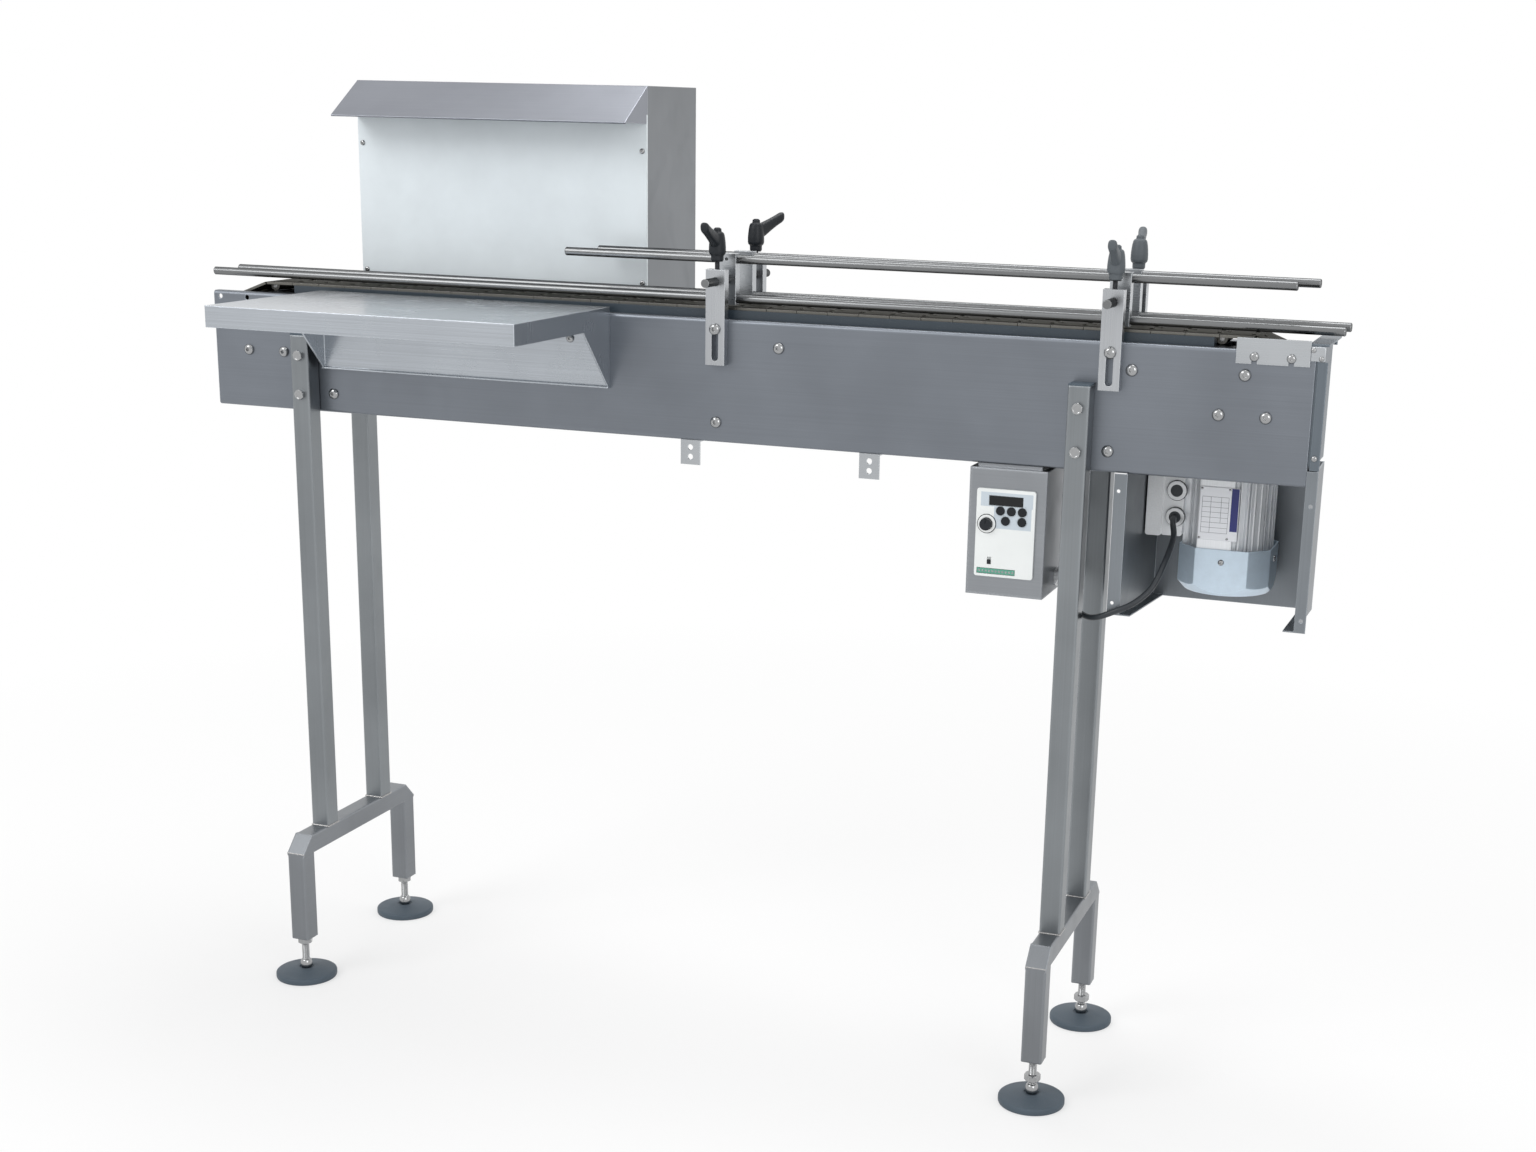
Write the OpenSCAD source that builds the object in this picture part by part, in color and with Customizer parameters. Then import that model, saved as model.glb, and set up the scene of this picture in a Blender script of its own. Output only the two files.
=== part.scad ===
// Inspection conveyor: a slat chain conveyor on two stands, with adjustable
// guide rails, a back-lit screen, a work tray, a control box and a hanging
// motor that drives the chain through a worm gearbox.
// Built with X along the belt from the tail end, Y away from the operator and
// Z up from the floor, then moved so the origin is under the middle.

/* [Chain] */
// Number of slats in the loop
links = 76; // [50:2:110]
// Pitch of the chain
pitch = 38.1; // [38:0.1:39]
// Width of one slat
slat_w = 82.6; // [80:0.1:90]
// Thickness of one slat
slat_t = 3.1; // [2.5:0.1:4]
// Outer diameter of the hinge barrels under the slats
barrel_d = 12.5; // [11:0.1:13]
// Diameter of the hinge pins
hinge_pin_d = 6.35; // [5:0.05:7]
// Depth of the pin centres below the carrying surface
pin_drop = 6.3; // [6.25:0.05:7]
// Height of the carrying surface above the floor
chain_top = 911; // [700:1:1200]
// Share of a pitch by which the slats are advanced round the loop
chain_step = 0.88; // [0:0.01:1]
// Half pitches round one sprocket
sprocket_teeth = 21; // [21:2:25]

/* [Conveyor frame] */
// Width over the side plates
frame_w = 110; // [108:1:140]
// Height of the side plates
plate_h = 146; // [145:1:180]
// Sheet thickness of the side plates
plate_t = 2; // [1.5:0.5:3]
// Outside radius of the folds in the side plates
fold_r = 4; // [3:0.5:6]
// Width of the folded lip along the top
top_lip = 28; // [26:1:30]
// Width of the folded lip along the bottom
bottom_lip = 15; // [10:1:20]
// Distance from each plate end to its sprocket axis
end_margin = 75; // [73:1:90]
// Height of the wear strips under the slats
strip_h = 10; // [8:1:14]
// Diameter of the cross spacers between the plates
spacer_d = 16; // [14:1:24]
// Thread size of the frame bolts
bolt_d = 8; // [6:1:8]
// Tail end to the first cross spacer
spacer_in = 358; // [300:1:420]
// Second stand to the last cross spacer
spacer_past = 53; // [50:1:60]
// Depth of the cross spacers below the top of the plates
spacer_drop = 30; // [28:1:40]
// Tail end to the first bolt of the return strips
return_in = 172; // [165:1:200]
// Second stand to the last bolt of the return strips
return_past = 31; // [28:1:34]
// Height of the return strip bolts above the bottom of the plates
return_rise = 24; // [22:1:28]

/* [Shafts and bearings] */
// Diameter of the drive and tail shafts
shaft_d = 20; // [16:1:25]
// Face width of the sprockets
sprocket_w = 42; // [36:1:43]
// Depth of the bearing housings
bearing_h = 15; // [12:1:18]
// Radius of the three bearing bolts round the shaft
bearing_bolt_r = 30; // [29:1:31]
// Outer diameter of the bearing inserts
insert_d = 42; // [38:1:43]

/* [Guide rails] */
// Diameter of the guide rails and of the cross rods
rail_d = 10; // [8:1:12]
// Height of the lower rails above the carrying surface
low_rail = 9; // [8.5:0.5:14]
// Height of the upper rails above the lower rails
rail_rise = 46; // [40:1:60]
// Distance of the rails from the middle of the chain
rail_y = 27; // [24:1:32]
// Lower rails past the tail end of the frame
rail_past_tail = 16; // [0:1:40]
// Lower rails past the drive end of the frame
rail_past_drive = 26; // [14:1:60]
// Length of the upper rails
upper_l = 880; // [760:10:900]
// First post to the tail end of the near upper rail
upper_lead = 213; // [150:1:260]
// Shift of the far upper rail towards the drive end
upper_shift = 18; // [0:1:30]
// Width of the post bars
post_w = 24; // [22:1:30]
// Thickness of the post bars
post_t = 12; // [11:1:14]
// Height of the post bars
post_h = 111; // [105:1:120]
// Bottom of the post bars below the top of the plates
post_low = 53; // [50:1:56]
// Distance between the two posts of one side
post_pitch = 473; // [380:1:480]
// Second stand to the last post
post_past = 30; // [28:1:32]
// Width of the height slot in the posts
slot_w = 8.4; // [8.2:0.1:9]
// Height travel of the posts
post_travel = 33; // [20:1:34]
// Cross rod below the top of the post
rod_drop = 14; // [12:1:18]
// Cross rod past the outer face of the post
rod_past = 31; // [25:1:45]
// Thickness of the rail blocks
block_t = 12; // [12:0.5:13]
// Height of the clamp lever hubs
hub_h = 37; // [30:1:45]
// Diameter of the clamp lever hubs
hub_d = 20; // [16:1:20]
// Reach of the clamp lever arms
arm_l = 42; // [35:1:48]
// Thread size of the clamp lever studs
stud_d = 6; // [5:1:8]

/* [Stands] */
// Side of the square stand tubes
tube = 25.4; // [25:0.1:27]
// Wall of the square stand tubes
tube_wall = 2; // [1.5:0.5:3]
// Corner radius of the square stand tubes
tube_r = 2.5; // [2:0.5:4]
// Tail end to the first stand
stand_in = 139; // [136:1:142]
// Drive end to the second stand
stand_out = 253; // [250:1:256]
// Distance between the feet across the conveyor
foot_spread = 257; // [240:1:320]
// Top of the cross beams above the floor
beam_top = 198; // [160:1:260]
// Lower ends of the legs above the floor
leg_low = 56; // [54:1:70]
// Uprights up the side plates
upright_lap = 98; // [90:1:104]
// Upper stand bolts above the bottom of the plates
stand_bolt_rise = 73; // [66:1:78]
// Diameter of the foot pads
pad_d = 80; // [70:1:100]
// Diameter of the foot spindles
spindle_d = 10; // [10:1:14]
// Width across the flats of the lock nuts
nut_flats = 17; // [16:1:22]
// Drop of the mitred corners of the bases
mitre_drop = 21; // [14:1:25]

/* [Tray] */
// Length of the tray along the conveyor
tray_l = 400; // [300:5:420]
// Depth of the tray
tray_d = 245; // [180:5:260]
// Sheet thickness of the tray
tray_t = 2; // [1.5:0.5:3]
// Depth of the tray lips
tray_lip = 25; // [20:1:35]
// Height of the tray back plate
tray_back = 97; // [85:1:105]
// Tail end to the tray
tray_in = 160; // [156:1:170]
// Depth of the tray below the carrying surface
tray_drop = 6; // [2:1:12]

/* [Light box] */
// Length of the light box
light_l = 405; // [300:5:420]
// Depth of the light box
light_d = 150; // [100:5:180]
// Height of the light box
light_h = 281; // [240:1:320]
// Sheet thickness of the light box
light_t = 2; // [1.5:0.5:3]
// Bottom of the light box below the carrying surface
light_drop = 31; // [20:1:34]
// Tail end to the light box
light_in = 154; // [150:1:165]
// Thickness of the white screen
screen_t = 3; // [2:0.5:3]
// Reach of the visor in front of the screen
visor_reach = 66; // [40:1:72]
// Fall of the visor from the top of the box
visor_fall = 43; // [30:1:60]
// Diameter of the lamp tubes
lamp_d = 16; // [12:1:26]

/* [Drive] */
// Worm centre distance of the gearbox
worm_a = 25; // [25:1:30]
// Gearbox middle plane outside the far side plate
gear_out = 33.5; // [32:0.5:40]
// Radius of the motor over its fins
motor_r = 51.3; // [46:0.1:52]
// Number of cooling fins round the motor
fin_n = 36; // [24:4:48]
// Height of the finned motor body
motor_h = 122; // [100:1:130]
// Half width of the fan cowl over its flats
cowl_half = 53.5; // [53.5:0.5:56]
// Height of the fan cowl
cowl_h = 55; // [45:1:65]
// Depth of the motor top below the drive shaft
motor_drop = 74; // [72:1:78]
// Length of the terminal box across the motor axis
box_w = 66; // [50:1:70]

/* [Motor guard] */
// Sheet thickness of the guard and the end cover
guard_t = 1.5; // [1:0.5:2]
// Left wall of the guard before the drive end
guard_in = 197; // [196:1:206]
// Reach of the guard behind the far side plate
guard_back = 91; // [90:1:130]
// Front height of the guard below the side plates
guard_h = 163; // [140:1:190]
// Extra depth of the guard at its back
guard_rake = 16.5; // [0:0.5:30]
// Width of the guard's left front flange
guard_flange = 15; // [12:1:16]
// Turn of the guard's right wall towards its back, in degrees
guard_turn = 1.7; // [0:0.1:2]
// Outer face of the end cover past the drive end
cover_out = 13; // [8:1:18]

/* [Controls] */
// Width of the control box
ctrl_w = 92; // [84:1:96]
// Depth of the control box
ctrl_d = 83; // [60:1:90]
// Height of the control box
ctrl_h = 149; // [135:1:170]
// Drive end to the control box
ctrl_out = 289; // [286:1:300]
// Width of the speed controller's face
face_w = 70; // [66:1:74]
// Height of the speed controller's face
face_h = 103; // [98:1:110]
// Diameter of the push buttons
button_d = 10; // [8:0.5:10]
// Travel of the push buttons
button_travel = 0.8; // [0.5:0.1:1]
// Diameter of the speed knob
knob_d = 14; // [12:0.5:15]

/* [Output] */
// Node that is drawn

/* [Hidden] */
$fn = 48;

// Colours
steel = [0.62, 0.64, 0.67];
bright = [0.78, 0.79, 0.80];
zinc = [0.66, 0.72, 0.76];
strip_blue = [0.18, 0.23, 0.28];
black = [0.09, 0.09, 0.10];
slate = [0.29, 0.35, 0.38];
silver = [0.72, 0.73, 0.75];
white = [0.90, 0.93, 0.95];
cream = [0.89, 0.90, 0.87];

// Clearances
gap = 0.3;
bore_gap = 0.05;
slide_gap = 0.3;

// Chain path
pitch_r = pitch / (2 * sin(360 / sprocket_teeth));
wrap = sprocket_teeth / 4;
run = (links - 2 * wrap) / 2;
frame_l = 2 * end_margin + run * pitch;
tail_x = end_margin;
drive_x = end_margin + run * pitch;
axis_z = chain_top - pin_drop - pitch_r;
sprocket_r = pitch_r - barrel_d / 2 - gap;
return_z = axis_z - pitch_r - pin_drop;
turn = 720 / sprocket_teeth;
pin_fit = hinge_pin_d / 2 + 0.06;
mid_barrel = 13;
barrel_span = 44;

// Frame
half_w = frame_w / 2;
inner_y = half_w - plate_t;
plate_top = chain_top - slat_t - strip_h;
plate_bot = plate_top - plate_h;
stand_x = [stand_in, frame_l - stand_out];
spacer_x = [spacer_in, (spacer_in + stand_x[1] + spacer_past) / 2, stand_x[1] + spacer_past];
spacer_z = plate_top - spacer_drop;
return_x = [return_in, frame_l / 2, stand_x[1] + return_past];
return_bolt_z = plate_bot + return_rise;
head_d = bolt_d * 1.75;
head_h = bolt_d * 0.55;
strip_out = slat_w / 2 + 2.7;

// Stands
upright_y = half_w + tube / 2;
upright_top = plate_bot + upright_lap;
stand_bolt_z = [plate_bot + stand_bolt_rise, return_bolt_z];
leg_y = foot_spread / 2;
leg_out = leg_y + tube / 2;

// Guide rails
post_x = [stand_x[1] + post_past - post_pitch, stand_x[1] + post_past];
post_bot = plate_top - post_low;
post_top = post_bot + post_h;
rod_z = post_top - rod_drop;
slot_end = post_bot + 5 + slot_w / 2;
post_bolt_z = slot_end + post_travel;
post_y = half_w + slide_gap;
low_z = chain_top + low_rail;
up_z = low_z + rail_rise;
block_low = chain_top + 1.6;
block_top = up_z + rail_d / 2 + 1.5;
rod_end = post_y + post_t + rod_past;
hub_z = post_top + 10;

// Tray, light box and screen
tray_y = half_w + tray_d;
tray_z = chain_top - tray_drop;
light_y = half_w + screen_t;
light_bot = chain_top - light_drop;
light_top = light_bot + light_h;
screen_bot = plate_top + 3;
screen_top = light_top - visor_fall + 9;

// Drive
gear_y = half_w + gear_out;
motor_x = drive_x - worm_a;
motor_top = axis_z - motor_drop;
cowl_top = motor_top - motor_h + 13;
cowl_bot = cowl_top - cowl_h;
box_x = motor_x - 95;
box_z = motor_top - 101;
box_h = 73;
box_face = gear_y - box_w / 2;
gland_z = box_z + 23;
gland_x = box_x + 35;

// Guard and end cover
guard_x = frame_l - guard_in;
guard_y = half_w + guard_back;
guard_front = -half_w - guard_t;
guard_low = plate_bot - guard_h;
cover_x = frame_l + cover_out;
cover_bot = return_z + 1;

// Controls
ctrl_x = frame_l - ctrl_out - ctrl_w;
ctrl_top = plate_bot - 5;
ctrl_bot = ctrl_top - ctrl_h;
face_x = ctrl_x + (ctrl_w - face_w) / 2 - 1;
face_z = ctrl_top - 23.5 - face_h;
face_t = 3;
ctrl_t = 1.5;
key_y = -half_w - face_t;

// Origin under the middle of the part
mid_x = (frame_l + rail_past_drive - rail_past_tail) / 2;
mid_y = (light_y + light_d - tray_y) / 2;

module shift() translate([-mid_x, -mid_y, 0]) children();
module mirror_y() { children(); mirror([0, 1, 0]) children(); }
module rod_x(d, l) rotate([0, 90, 0]) cylinder(d = d, h = l);
module rod_y(d, l) rotate([-90, 0, 0]) cylinder(d = d, h = l);
module face_extrude(y, t) translate([0, y + t, 0]) rotate([90, 0, 0]) linear_extrude(t) children();

// Flat outline with rounded corners
module round_rect(w, h, r) {
    translate([r, 0]) square([w - 2 * r, h]);
    translate([0, r]) square([w, h - 2 * r]);
    for (x = [r, w - r], y = [r, h - r]) translate([x, y]) circle(r);
}

// Solid box with rounded edges along Y, from its low corner
module round_box(size, r) translate([0, size[1], 0]) rotate([90, 0, 0])
    linear_extrude(size[1]) round_rect(size[0], size[2], r);

// Button-head bolt whose head sits on the plane y = 0 and whose shank runs to +Y
module dome_bolt(d, l) {
    rotate([90, 0, 0]) rotate_extrude() intersection() {
        translate([0, -d * 0.75]) circle(d * 1.3);
        square([d * 0.875, d * 0.55]);
    }
    rod_y(d - 2 * bore_gap, l);
}

// Hexagon bolt with the same seat and direction
module hex_bolt(d, l) {
    rotate([90, 0, 0]) cylinder(d = d * 1.85, h = d * 0.65, $fn = 6);
    rod_y(d - 2 * bore_gap, l);
}

// Chain

// Pin position and travel direction at s pitches round the loop
function chain_at(s) = let(t = s - links * floor(s / links))
    t < run ? [tail_x + t * pitch, axis_z + pitch_r]
    : t < run + wrap ? let(a = 90 - (t - run) * turn) [drive_x + pitch_r * cos(a), axis_z + pitch_r * sin(a)]
    : t < 2 * run + wrap ? [drive_x - (t - run - wrap) * pitch, axis_z - pitch_r]
    : let(a = 270 - (t - 2 * run - wrap) * turn) [tail_x + pitch_r * cos(a), axis_z + pitch_r * sin(a)];

// One slat with its hinge barrels, from the rear pin at the origin
module slat() {
    low = pin_drop - slat_t;
    reach = barrel_d / 2 + 0.45;
    difference() {
        union() {
            difference() {
                translate([0.35, -slat_w / 2, low]) cube([pitch - 0.7, slat_w, slat_t]);
                translate([-1, -mid_barrel / 2 - 0.3, low - 1]) cube([reach + 1, mid_barrel + 0.6, slat_t + 2]);
                mirror_y() translate([pitch - reach, mid_barrel / 2 - 0.01, low - 1])
                    cube([reach + 1, (barrel_span - mid_barrel) / 2 + 0.31, slat_t + 2]);
            }
            translate([pitch, -mid_barrel / 2, 0]) rod_y(barrel_d, mid_barrel);
            mirror_y() translate([0, mid_barrel / 2 + 0.3, 0])
                rod_y(barrel_d, (barrel_span - mid_barrel) / 2 - 0.3);
        }
        translate([0, -slat_w / 2, 0]) rod_y(2 * pin_fit, slat_w);
        translate([pitch, -slat_w / 2, 0]) rod_y(2 * pin_fit, slat_w);
    }
}

// The slats whose middles lie between two places on the loop
module slats(from, to) for (i = [0 : links - 1]) {
    s = i + chain_step;
    m = s + 0.5 - links * floor((s + 0.5) / links);
    if (m >= from && m < to) {
        a = chain_at(s);
        b = chain_at(s + 1);
        translate([a[0], 0, a[1]]) rotate([0, -atan2(b[1] - a[1], b[0] - a[0]), 0]) slat();
    }
}

module chain_carry() color(steel) shift() slats(0, run);
module chain_drive_wrap() color(steel) shift() slats(run, run + wrap);
module chain_return() color(steel) shift() slats(run + wrap, 2 * run + wrap);
module chain_tail_wrap() color(steel) shift() slats(2 * run + wrap, links);

module chain_pins() color(bright) shift() for (i = [0 : links - 1]) {
    p = chain_at(i + chain_step);
    translate([p[0], -barrel_span / 2, p[1]]) rod_y(hinge_pin_d, barrel_span);
}

// Frame

// Section of a side plate: outer face at 0, folded lips towards +X
module plate_section() {
    translate([0, fold_r]) square([plate_t, plate_h - 2 * fold_r]);
    translate([fold_r, plate_h - plate_t]) square([top_lip - fold_r, plate_t]);
    translate([fold_r, 0]) square([bottom_lip - fold_r, plate_t]);
    for (y = [fold_r, plate_h - fold_r]) intersection() {
        translate([fold_r, y]) difference() {
            circle(fold_r);
            circle(fold_r - plate_t);
        }
        translate([0, y < plate_h / 2 ? 0 : y]) square([fold_r, fold_r]);
    }
}

// Centres of the three bearing bolts round a shaft
module bearing_holes(x) for (a = [90, 210, 330])
    translate([x + bearing_bolt_r * cos(a), 0, axis_z + bearing_bolt_r * sin(a)]) children();

// Places of the through holes that both side plates share
module plate_holes(d) {
    for (x = spacer_x) translate([x, 0, spacer_z]) children();
    for (x = return_x) translate([x, 0, return_bolt_z]) children();
    for (x = stand_x, z = stand_bolt_z) translate([x, 0, z]) children();
    for (x = post_x) translate([x, 0, post_bolt_z]) children();
    for (x = [tail_x, drive_x]) bearing_holes(x) children();
}

module side_plate() difference() {
    translate([0, -half_w, plate_bot]) rotate([90, 0, 90]) linear_extrude(frame_l) plate_section();
    plate_holes() translate([0, -half_w - 1, 0]) rod_y(bolt_d, plate_t + 2);
    // The lips stop short of the chain where it turns round the sprockets
    for (x = [-1, drive_x - 6]) translate([x, -slat_w / 2 - 2, plate_top - 5])
        cube([end_margin + 7, top_lip, 10]);
    // Joining slots at both ends
    for (x = join_x) translate([x, -half_w - 1, join_z]) rod_y(6, plate_t + 2);
}

join_z = plate_top - 7;
join_x = [9.5, 49.5, frame_l - 66, frame_l - 26];

module near_plate() color(steel) shift() difference() {
    side_plate();
    for (x = tray_bolt_x) translate([x, -half_w - 1, tray_bolt_z]) rod_y(6, plate_t + 2);
}

module far_plate() color(steel) shift() difference() {
    mirror([0, 1, 0]) side_plate();
    translate([drive_x, inner_y - 1, axis_z]) rod_y(shaft_d + 8, plate_t + 2);
    // Open at the bottom where the gearbox neck hangs outside
    translate([motor_x - 62, inner_y - bottom_lip, plate_bot - 1])
        cube([124, bottom_lip + plate_t + 1, axis_z - 49 - plate_bot + 1]);
    for (x = bracket_x, z = bracket_z) translate([x, inner_y - 1, z]) rod_y(6, plate_t + 2);
}

module cross_spacers() color(bright) shift() for (x = spacer_x)
    translate([x, -inner_y, spacer_z]) difference() {
        rod_y(spacer_d, 2 * inner_y);
        translate([0, -1, 0]) rod_y(bolt_d, 2 * inner_y + 2);
    }

module guide_strips() color(strip_blue) shift() mirror_y() {
    translate([tail_x + pitch, -strip_out, plate_top])
        cube([drive_x - tail_x - 2 * pitch, strip_out - barrel_span / 2 - 1.5, strip_h]);
    difference() {
        translate([stand_x[0] - 20, -inner_y, return_z - 5]) {
            cube([return_x[2] + 15 - stand_x[0] + 20, inner_y - slat_w / 2 + 8, 5]);
            cube([return_x[2] + 15 - stand_x[0] + 20, inner_y - slat_w / 2 - 2.5, 20]);
        }
        for (x = concat(return_x, stand_x)) translate([x, -inner_y - 1, return_bolt_z]) rod_y(bolt_d, 9);
    }
}

tray_bolt_x = [tray_in + 52, tray_in + tray_l - 52];
tray_bolt_z = tray_z - 40;
bracket_x = [light_in + 80, light_in + light_l - 80];
bracket_z = [light_bot - 50, light_bot - 25];

module frame_bolts() color(bright) shift() {
    mirror_y() {
        for (x = spacer_x) translate([x, -half_w, spacer_z]) dome_bolt(bolt_d, 20);
        for (x = return_x) translate([x, -half_w, return_bolt_z]) dome_bolt(bolt_d, 9);
        for (x = [tail_x, drive_x]) bearing_holes(x) translate([0, -half_w, 0]) dome_bolt(bolt_d, 10);
        for (x = post_x) translate([x, -post_y - post_t - slide_gap, post_bolt_z])
            dome_bolt(bolt_d, post_t + 2 * slide_gap + plate_t + 6);
        for (x = post_x) translate([x, -inner_y + 5, post_bolt_z]) rotate([90, 0, 0]) difference() {
            cylinder(d = bolt_d * 1.85, h = 5, $fn = 6);
            translate([0, 0, -1]) cylinder(d = bolt_d, h = 7);
        }
    }
    for (x = tray_bolt_x) translate([x, -half_w - tray_t, tray_bolt_z]) dome_bolt(6, 9);
    for (x = [join_x[2], join_x[3]]) translate([x, -half_w - 2.5, join_z]) dome_bolt(6, 8);
    for (x = bracket_x, z = bracket_z) translate([x, light_y, z]) mirror([0, 1, 0]) dome_bolt(6, 9);
}

// Shafts, sprockets and bearings

module sprocket() difference() {
    union() {
        translate([0, -sprocket_w / 2, 0]) rod_y(2 * sprocket_r, sprocket_w);
        translate([0, -sprocket_w / 2 - 6, 0]) rod_y(shaft_d * 2, sprocket_w + 12);
    }
    translate([0, -sprocket_w, 0]) rod_y(shaft_d, 2 * sprocket_w);
    // Tooth gaps, cut at every half pitch
    for (i = [0 : sprocket_teeth - 1]) rotate([0, i * turn / 2, 0])
        translate([sprocket_r + 3.5, -sprocket_w / 2 - 1, 0]) rod_y(barrel_d, sprocket_w + 2);
    // Recessed web on both sides
    mirror_y() translate([0, -sprocket_w / 2 - 1, 0]) difference() {
        rod_y(2 * sprocket_r - 22, 9);
        translate([0, -1, 0]) rod_y(shaft_d * 2, 11);
    }
}

module drive_shaft() color(bright) shift() translate([drive_x, 0, axis_z]) {
    translate([0, -inner_y + 1, 0]) rod_y(shaft_d, gear_y + 28 + inner_y);
    // Worm wheel, inside the gearbox
    translate([0, gear_y - 9, 0]) difference() {
        rod_y(2 * (worm_a - worm_r - gap), 18);
        translate([0, -1, 0]) rod_y(shaft_d - 1, 20);
    }
}
module drive_sprocket() color(steel) shift() translate([drive_x, 0, axis_z]) sprocket();
module tail_shaft() color(bright) shift() translate([tail_x, -inner_y + 1, axis_z]) rod_y(shaft_d, 2 * inner_y - 2);
module tail_sprocket() color(steel) shift() translate([tail_x, 0, axis_z]) sprocket();

// Three-bolt bearing housing on the plane y = 0, its boss towards +Y
module bearing() difference() {
    union() {
        intersection() {
            rod_y(2 * bearing_bolt_r + 15, 6);
            rotate([-90, 30, 0]) cylinder(r = 2 * bearing_bolt_r - 4, h = 6, $fn = 3);
        }
        rod_y(insert_d + 8, bearing_h);
    }
    translate([0, -1, 0]) rod_y(shaft_d + 2 * bore_gap, bearing_h + 2);
    bearing_bolt_bores();
    // Groove between the housing and the turning insert
    translate([0, bearing_h - 2, 0]) difference() {
        rod_y(insert_d, 3);
        translate([0, -1, 0]) rod_y(insert_d - 4, 5);
    }
}
module bearing_bolt_bores() for (a = [90, 210, 330])
    translate([bearing_bolt_r * cos(a), -1, bearing_bolt_r * sin(a)]) rod_y(bolt_d, 8);

module bearings() color(silver) shift() mirror_y()
    for (x = [tail_x, drive_x]) translate([x, -inner_y, axis_z]) bearing();

// Gearbox and motor

worm_r = 6.8;
plate_w = 40;

module gearbox_housing() color(silver) shift() difference() {
    union() {
        translate([drive_x, half_w, axis_z]) rod_y(2 * bearing_bolt_r - head_d - 3, 8);
        translate([drive_x, gear_y - 26, axis_z]) rod_y(78, 52);
        translate([motor_x, gear_y, axis_z - 46]) cylinder(d = 50, h = 88);
        translate([motor_x, gear_y - 22, axis_z - 38]) cube([30, 44, 76]);
        translate([drive_x, gear_y + 26, axis_z]) rod_y(48, 3);
        translate([motor_x, gear_y, axis_z - 58]) cylinder(d1 = 76, d2 = 50, h = 14);
        translate([motor_x, gear_y, motor_top]) cylinder(d = 90, h = axis_z - 58 - motor_top);
    }
    translate([drive_x, half_w - 1, axis_z]) rod_y(shaft_d + 2 * bore_gap, 100);
    translate([drive_x, gear_y - 9 - gap, axis_z]) rod_y(2 * worm_a - 8, 18 + 2 * gap);
    translate([motor_x, gear_y, motor_top - 1]) cylinder(r = worm_r + gap, h = motor_drop + 36);
    for (a = [45 : 90 : 315]) translate([motor_x + 38 * cos(a), gear_y + 38 * sin(a), motor_top - 1])
        cylinder(d = 6, h = 12);
}

module motor_section() {
    circle(motor_r - 7);
    for (i = [0 : fin_n - 1]) rotate(i * 360 / fin_n) translate([motor_r - 8, -0.9]) square([8, 1.8]);
    // Plain ribs for the through bolts at the corners
    for (a = [45 : 90 : 315]) rotate(a) translate([motor_r - 12, -10]) square([11, 20]);
    // Flat pads that carry the terminal box and the rating plate
    translate([-motor_r - 0.3, -24]) square([12, 48]);
    translate([-plate_w * 0.75, -motor_r - 0.3]) square([plate_w, 16]);
}

module motor_body() color(silver) shift() translate([motor_x, gear_y, motor_top - motor_h]) difference() {
    union() {
        translate([0, 0, 6]) linear_extrude(motor_h - 16) motor_section();
        cylinder(r = motor_r - 6, h = 8);
        translate([0, 0, motor_h - 10]) cylinder(r = 45, h = 10);
    }
    translate([0, 0, -1]) cylinder(r = 7 + bore_gap, h = motor_h + 2);
    translate([0, 0, 14]) cylinder(r = 28 + gap, h = motor_h - 36);
}

module motor_rotor() color(steel) shift() translate([motor_x, gear_y, 0]) {
    translate([0, 0, motor_top - motor_h - 26]) cylinder(r = 7, h = motor_h + 26 - 2);
    translate([0, 0, motor_top - 3]) cylinder(r = worm_r, h = motor_drop + 30);
    translate([0, 0, motor_top - motor_h + 14 + gap]) cylinder(r = 28, h = motor_h - 36 - 2 * gap);
    // Cooling fan under the cowl
    translate([0, 0, motor_top - motor_h - 26]) {
        cylinder(r = 16, h = 16);
        for (a = [0 : 45 : 315]) rotate(a) translate([14, -1, 0]) cube([30, 2, 16]);
    }
}

// Square with cut corners: the outline of the fan cowl
module cowl_outline(half) polygon([for (k = [0 : 3], s = [-30, 30]) half / cos(30) * [cos(90 * k + s), sin(90 * k + s)]]);

module fan_cowl() color(zinc) shift() translate([motor_x, gear_y, cowl_bot]) difference() {
    intersection() {
        linear_extrude(cowl_h) cowl_outline(cowl_half);
        cylinder(r1 = cowl_half - 3, r2 = cowl_half * 3, h = 2.2 * cowl_half);
    }
    intersection() {
        translate([0, 0, 1.5]) linear_extrude(cowl_h) cowl_outline(cowl_half - 1.5);
        translate([0, 0, 1.5]) cylinder(r1 = cowl_half - 5, r2 = cowl_half * 3 - 2, h = 2.2 * cowl_half);
    }
    // Air slots in the bottom
    for (a = [0 : 30 : 330]) rotate(a) translate([14, -2, -1]) cube([26, 4, 4]);
    // Fixing screw holes in the wide faces
    for (a = [0 : 90 : 270]) rotate(a) translate([cowl_half - 3, 0, cowl_h - 15]) rod_x(4, 5);
}

module terminal_box() color(silver) shift() {
    translate([box_x + 19, box_face, box_z]) difference() {
        round_box([motor_x - motor_r - 0.3 - box_x - 19, box_w, box_h], 3);
        for (z = [gland_z - box_z, gland_z - box_z + 31])
            translate([gland_x - box_x - 19, -1, z]) rod_y(16, 20);
    }
    // Lid
    translate([box_x, box_face - 1, box_z - 1]) round_box([19, box_w + 2, box_h + 2], 3);
}

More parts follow.
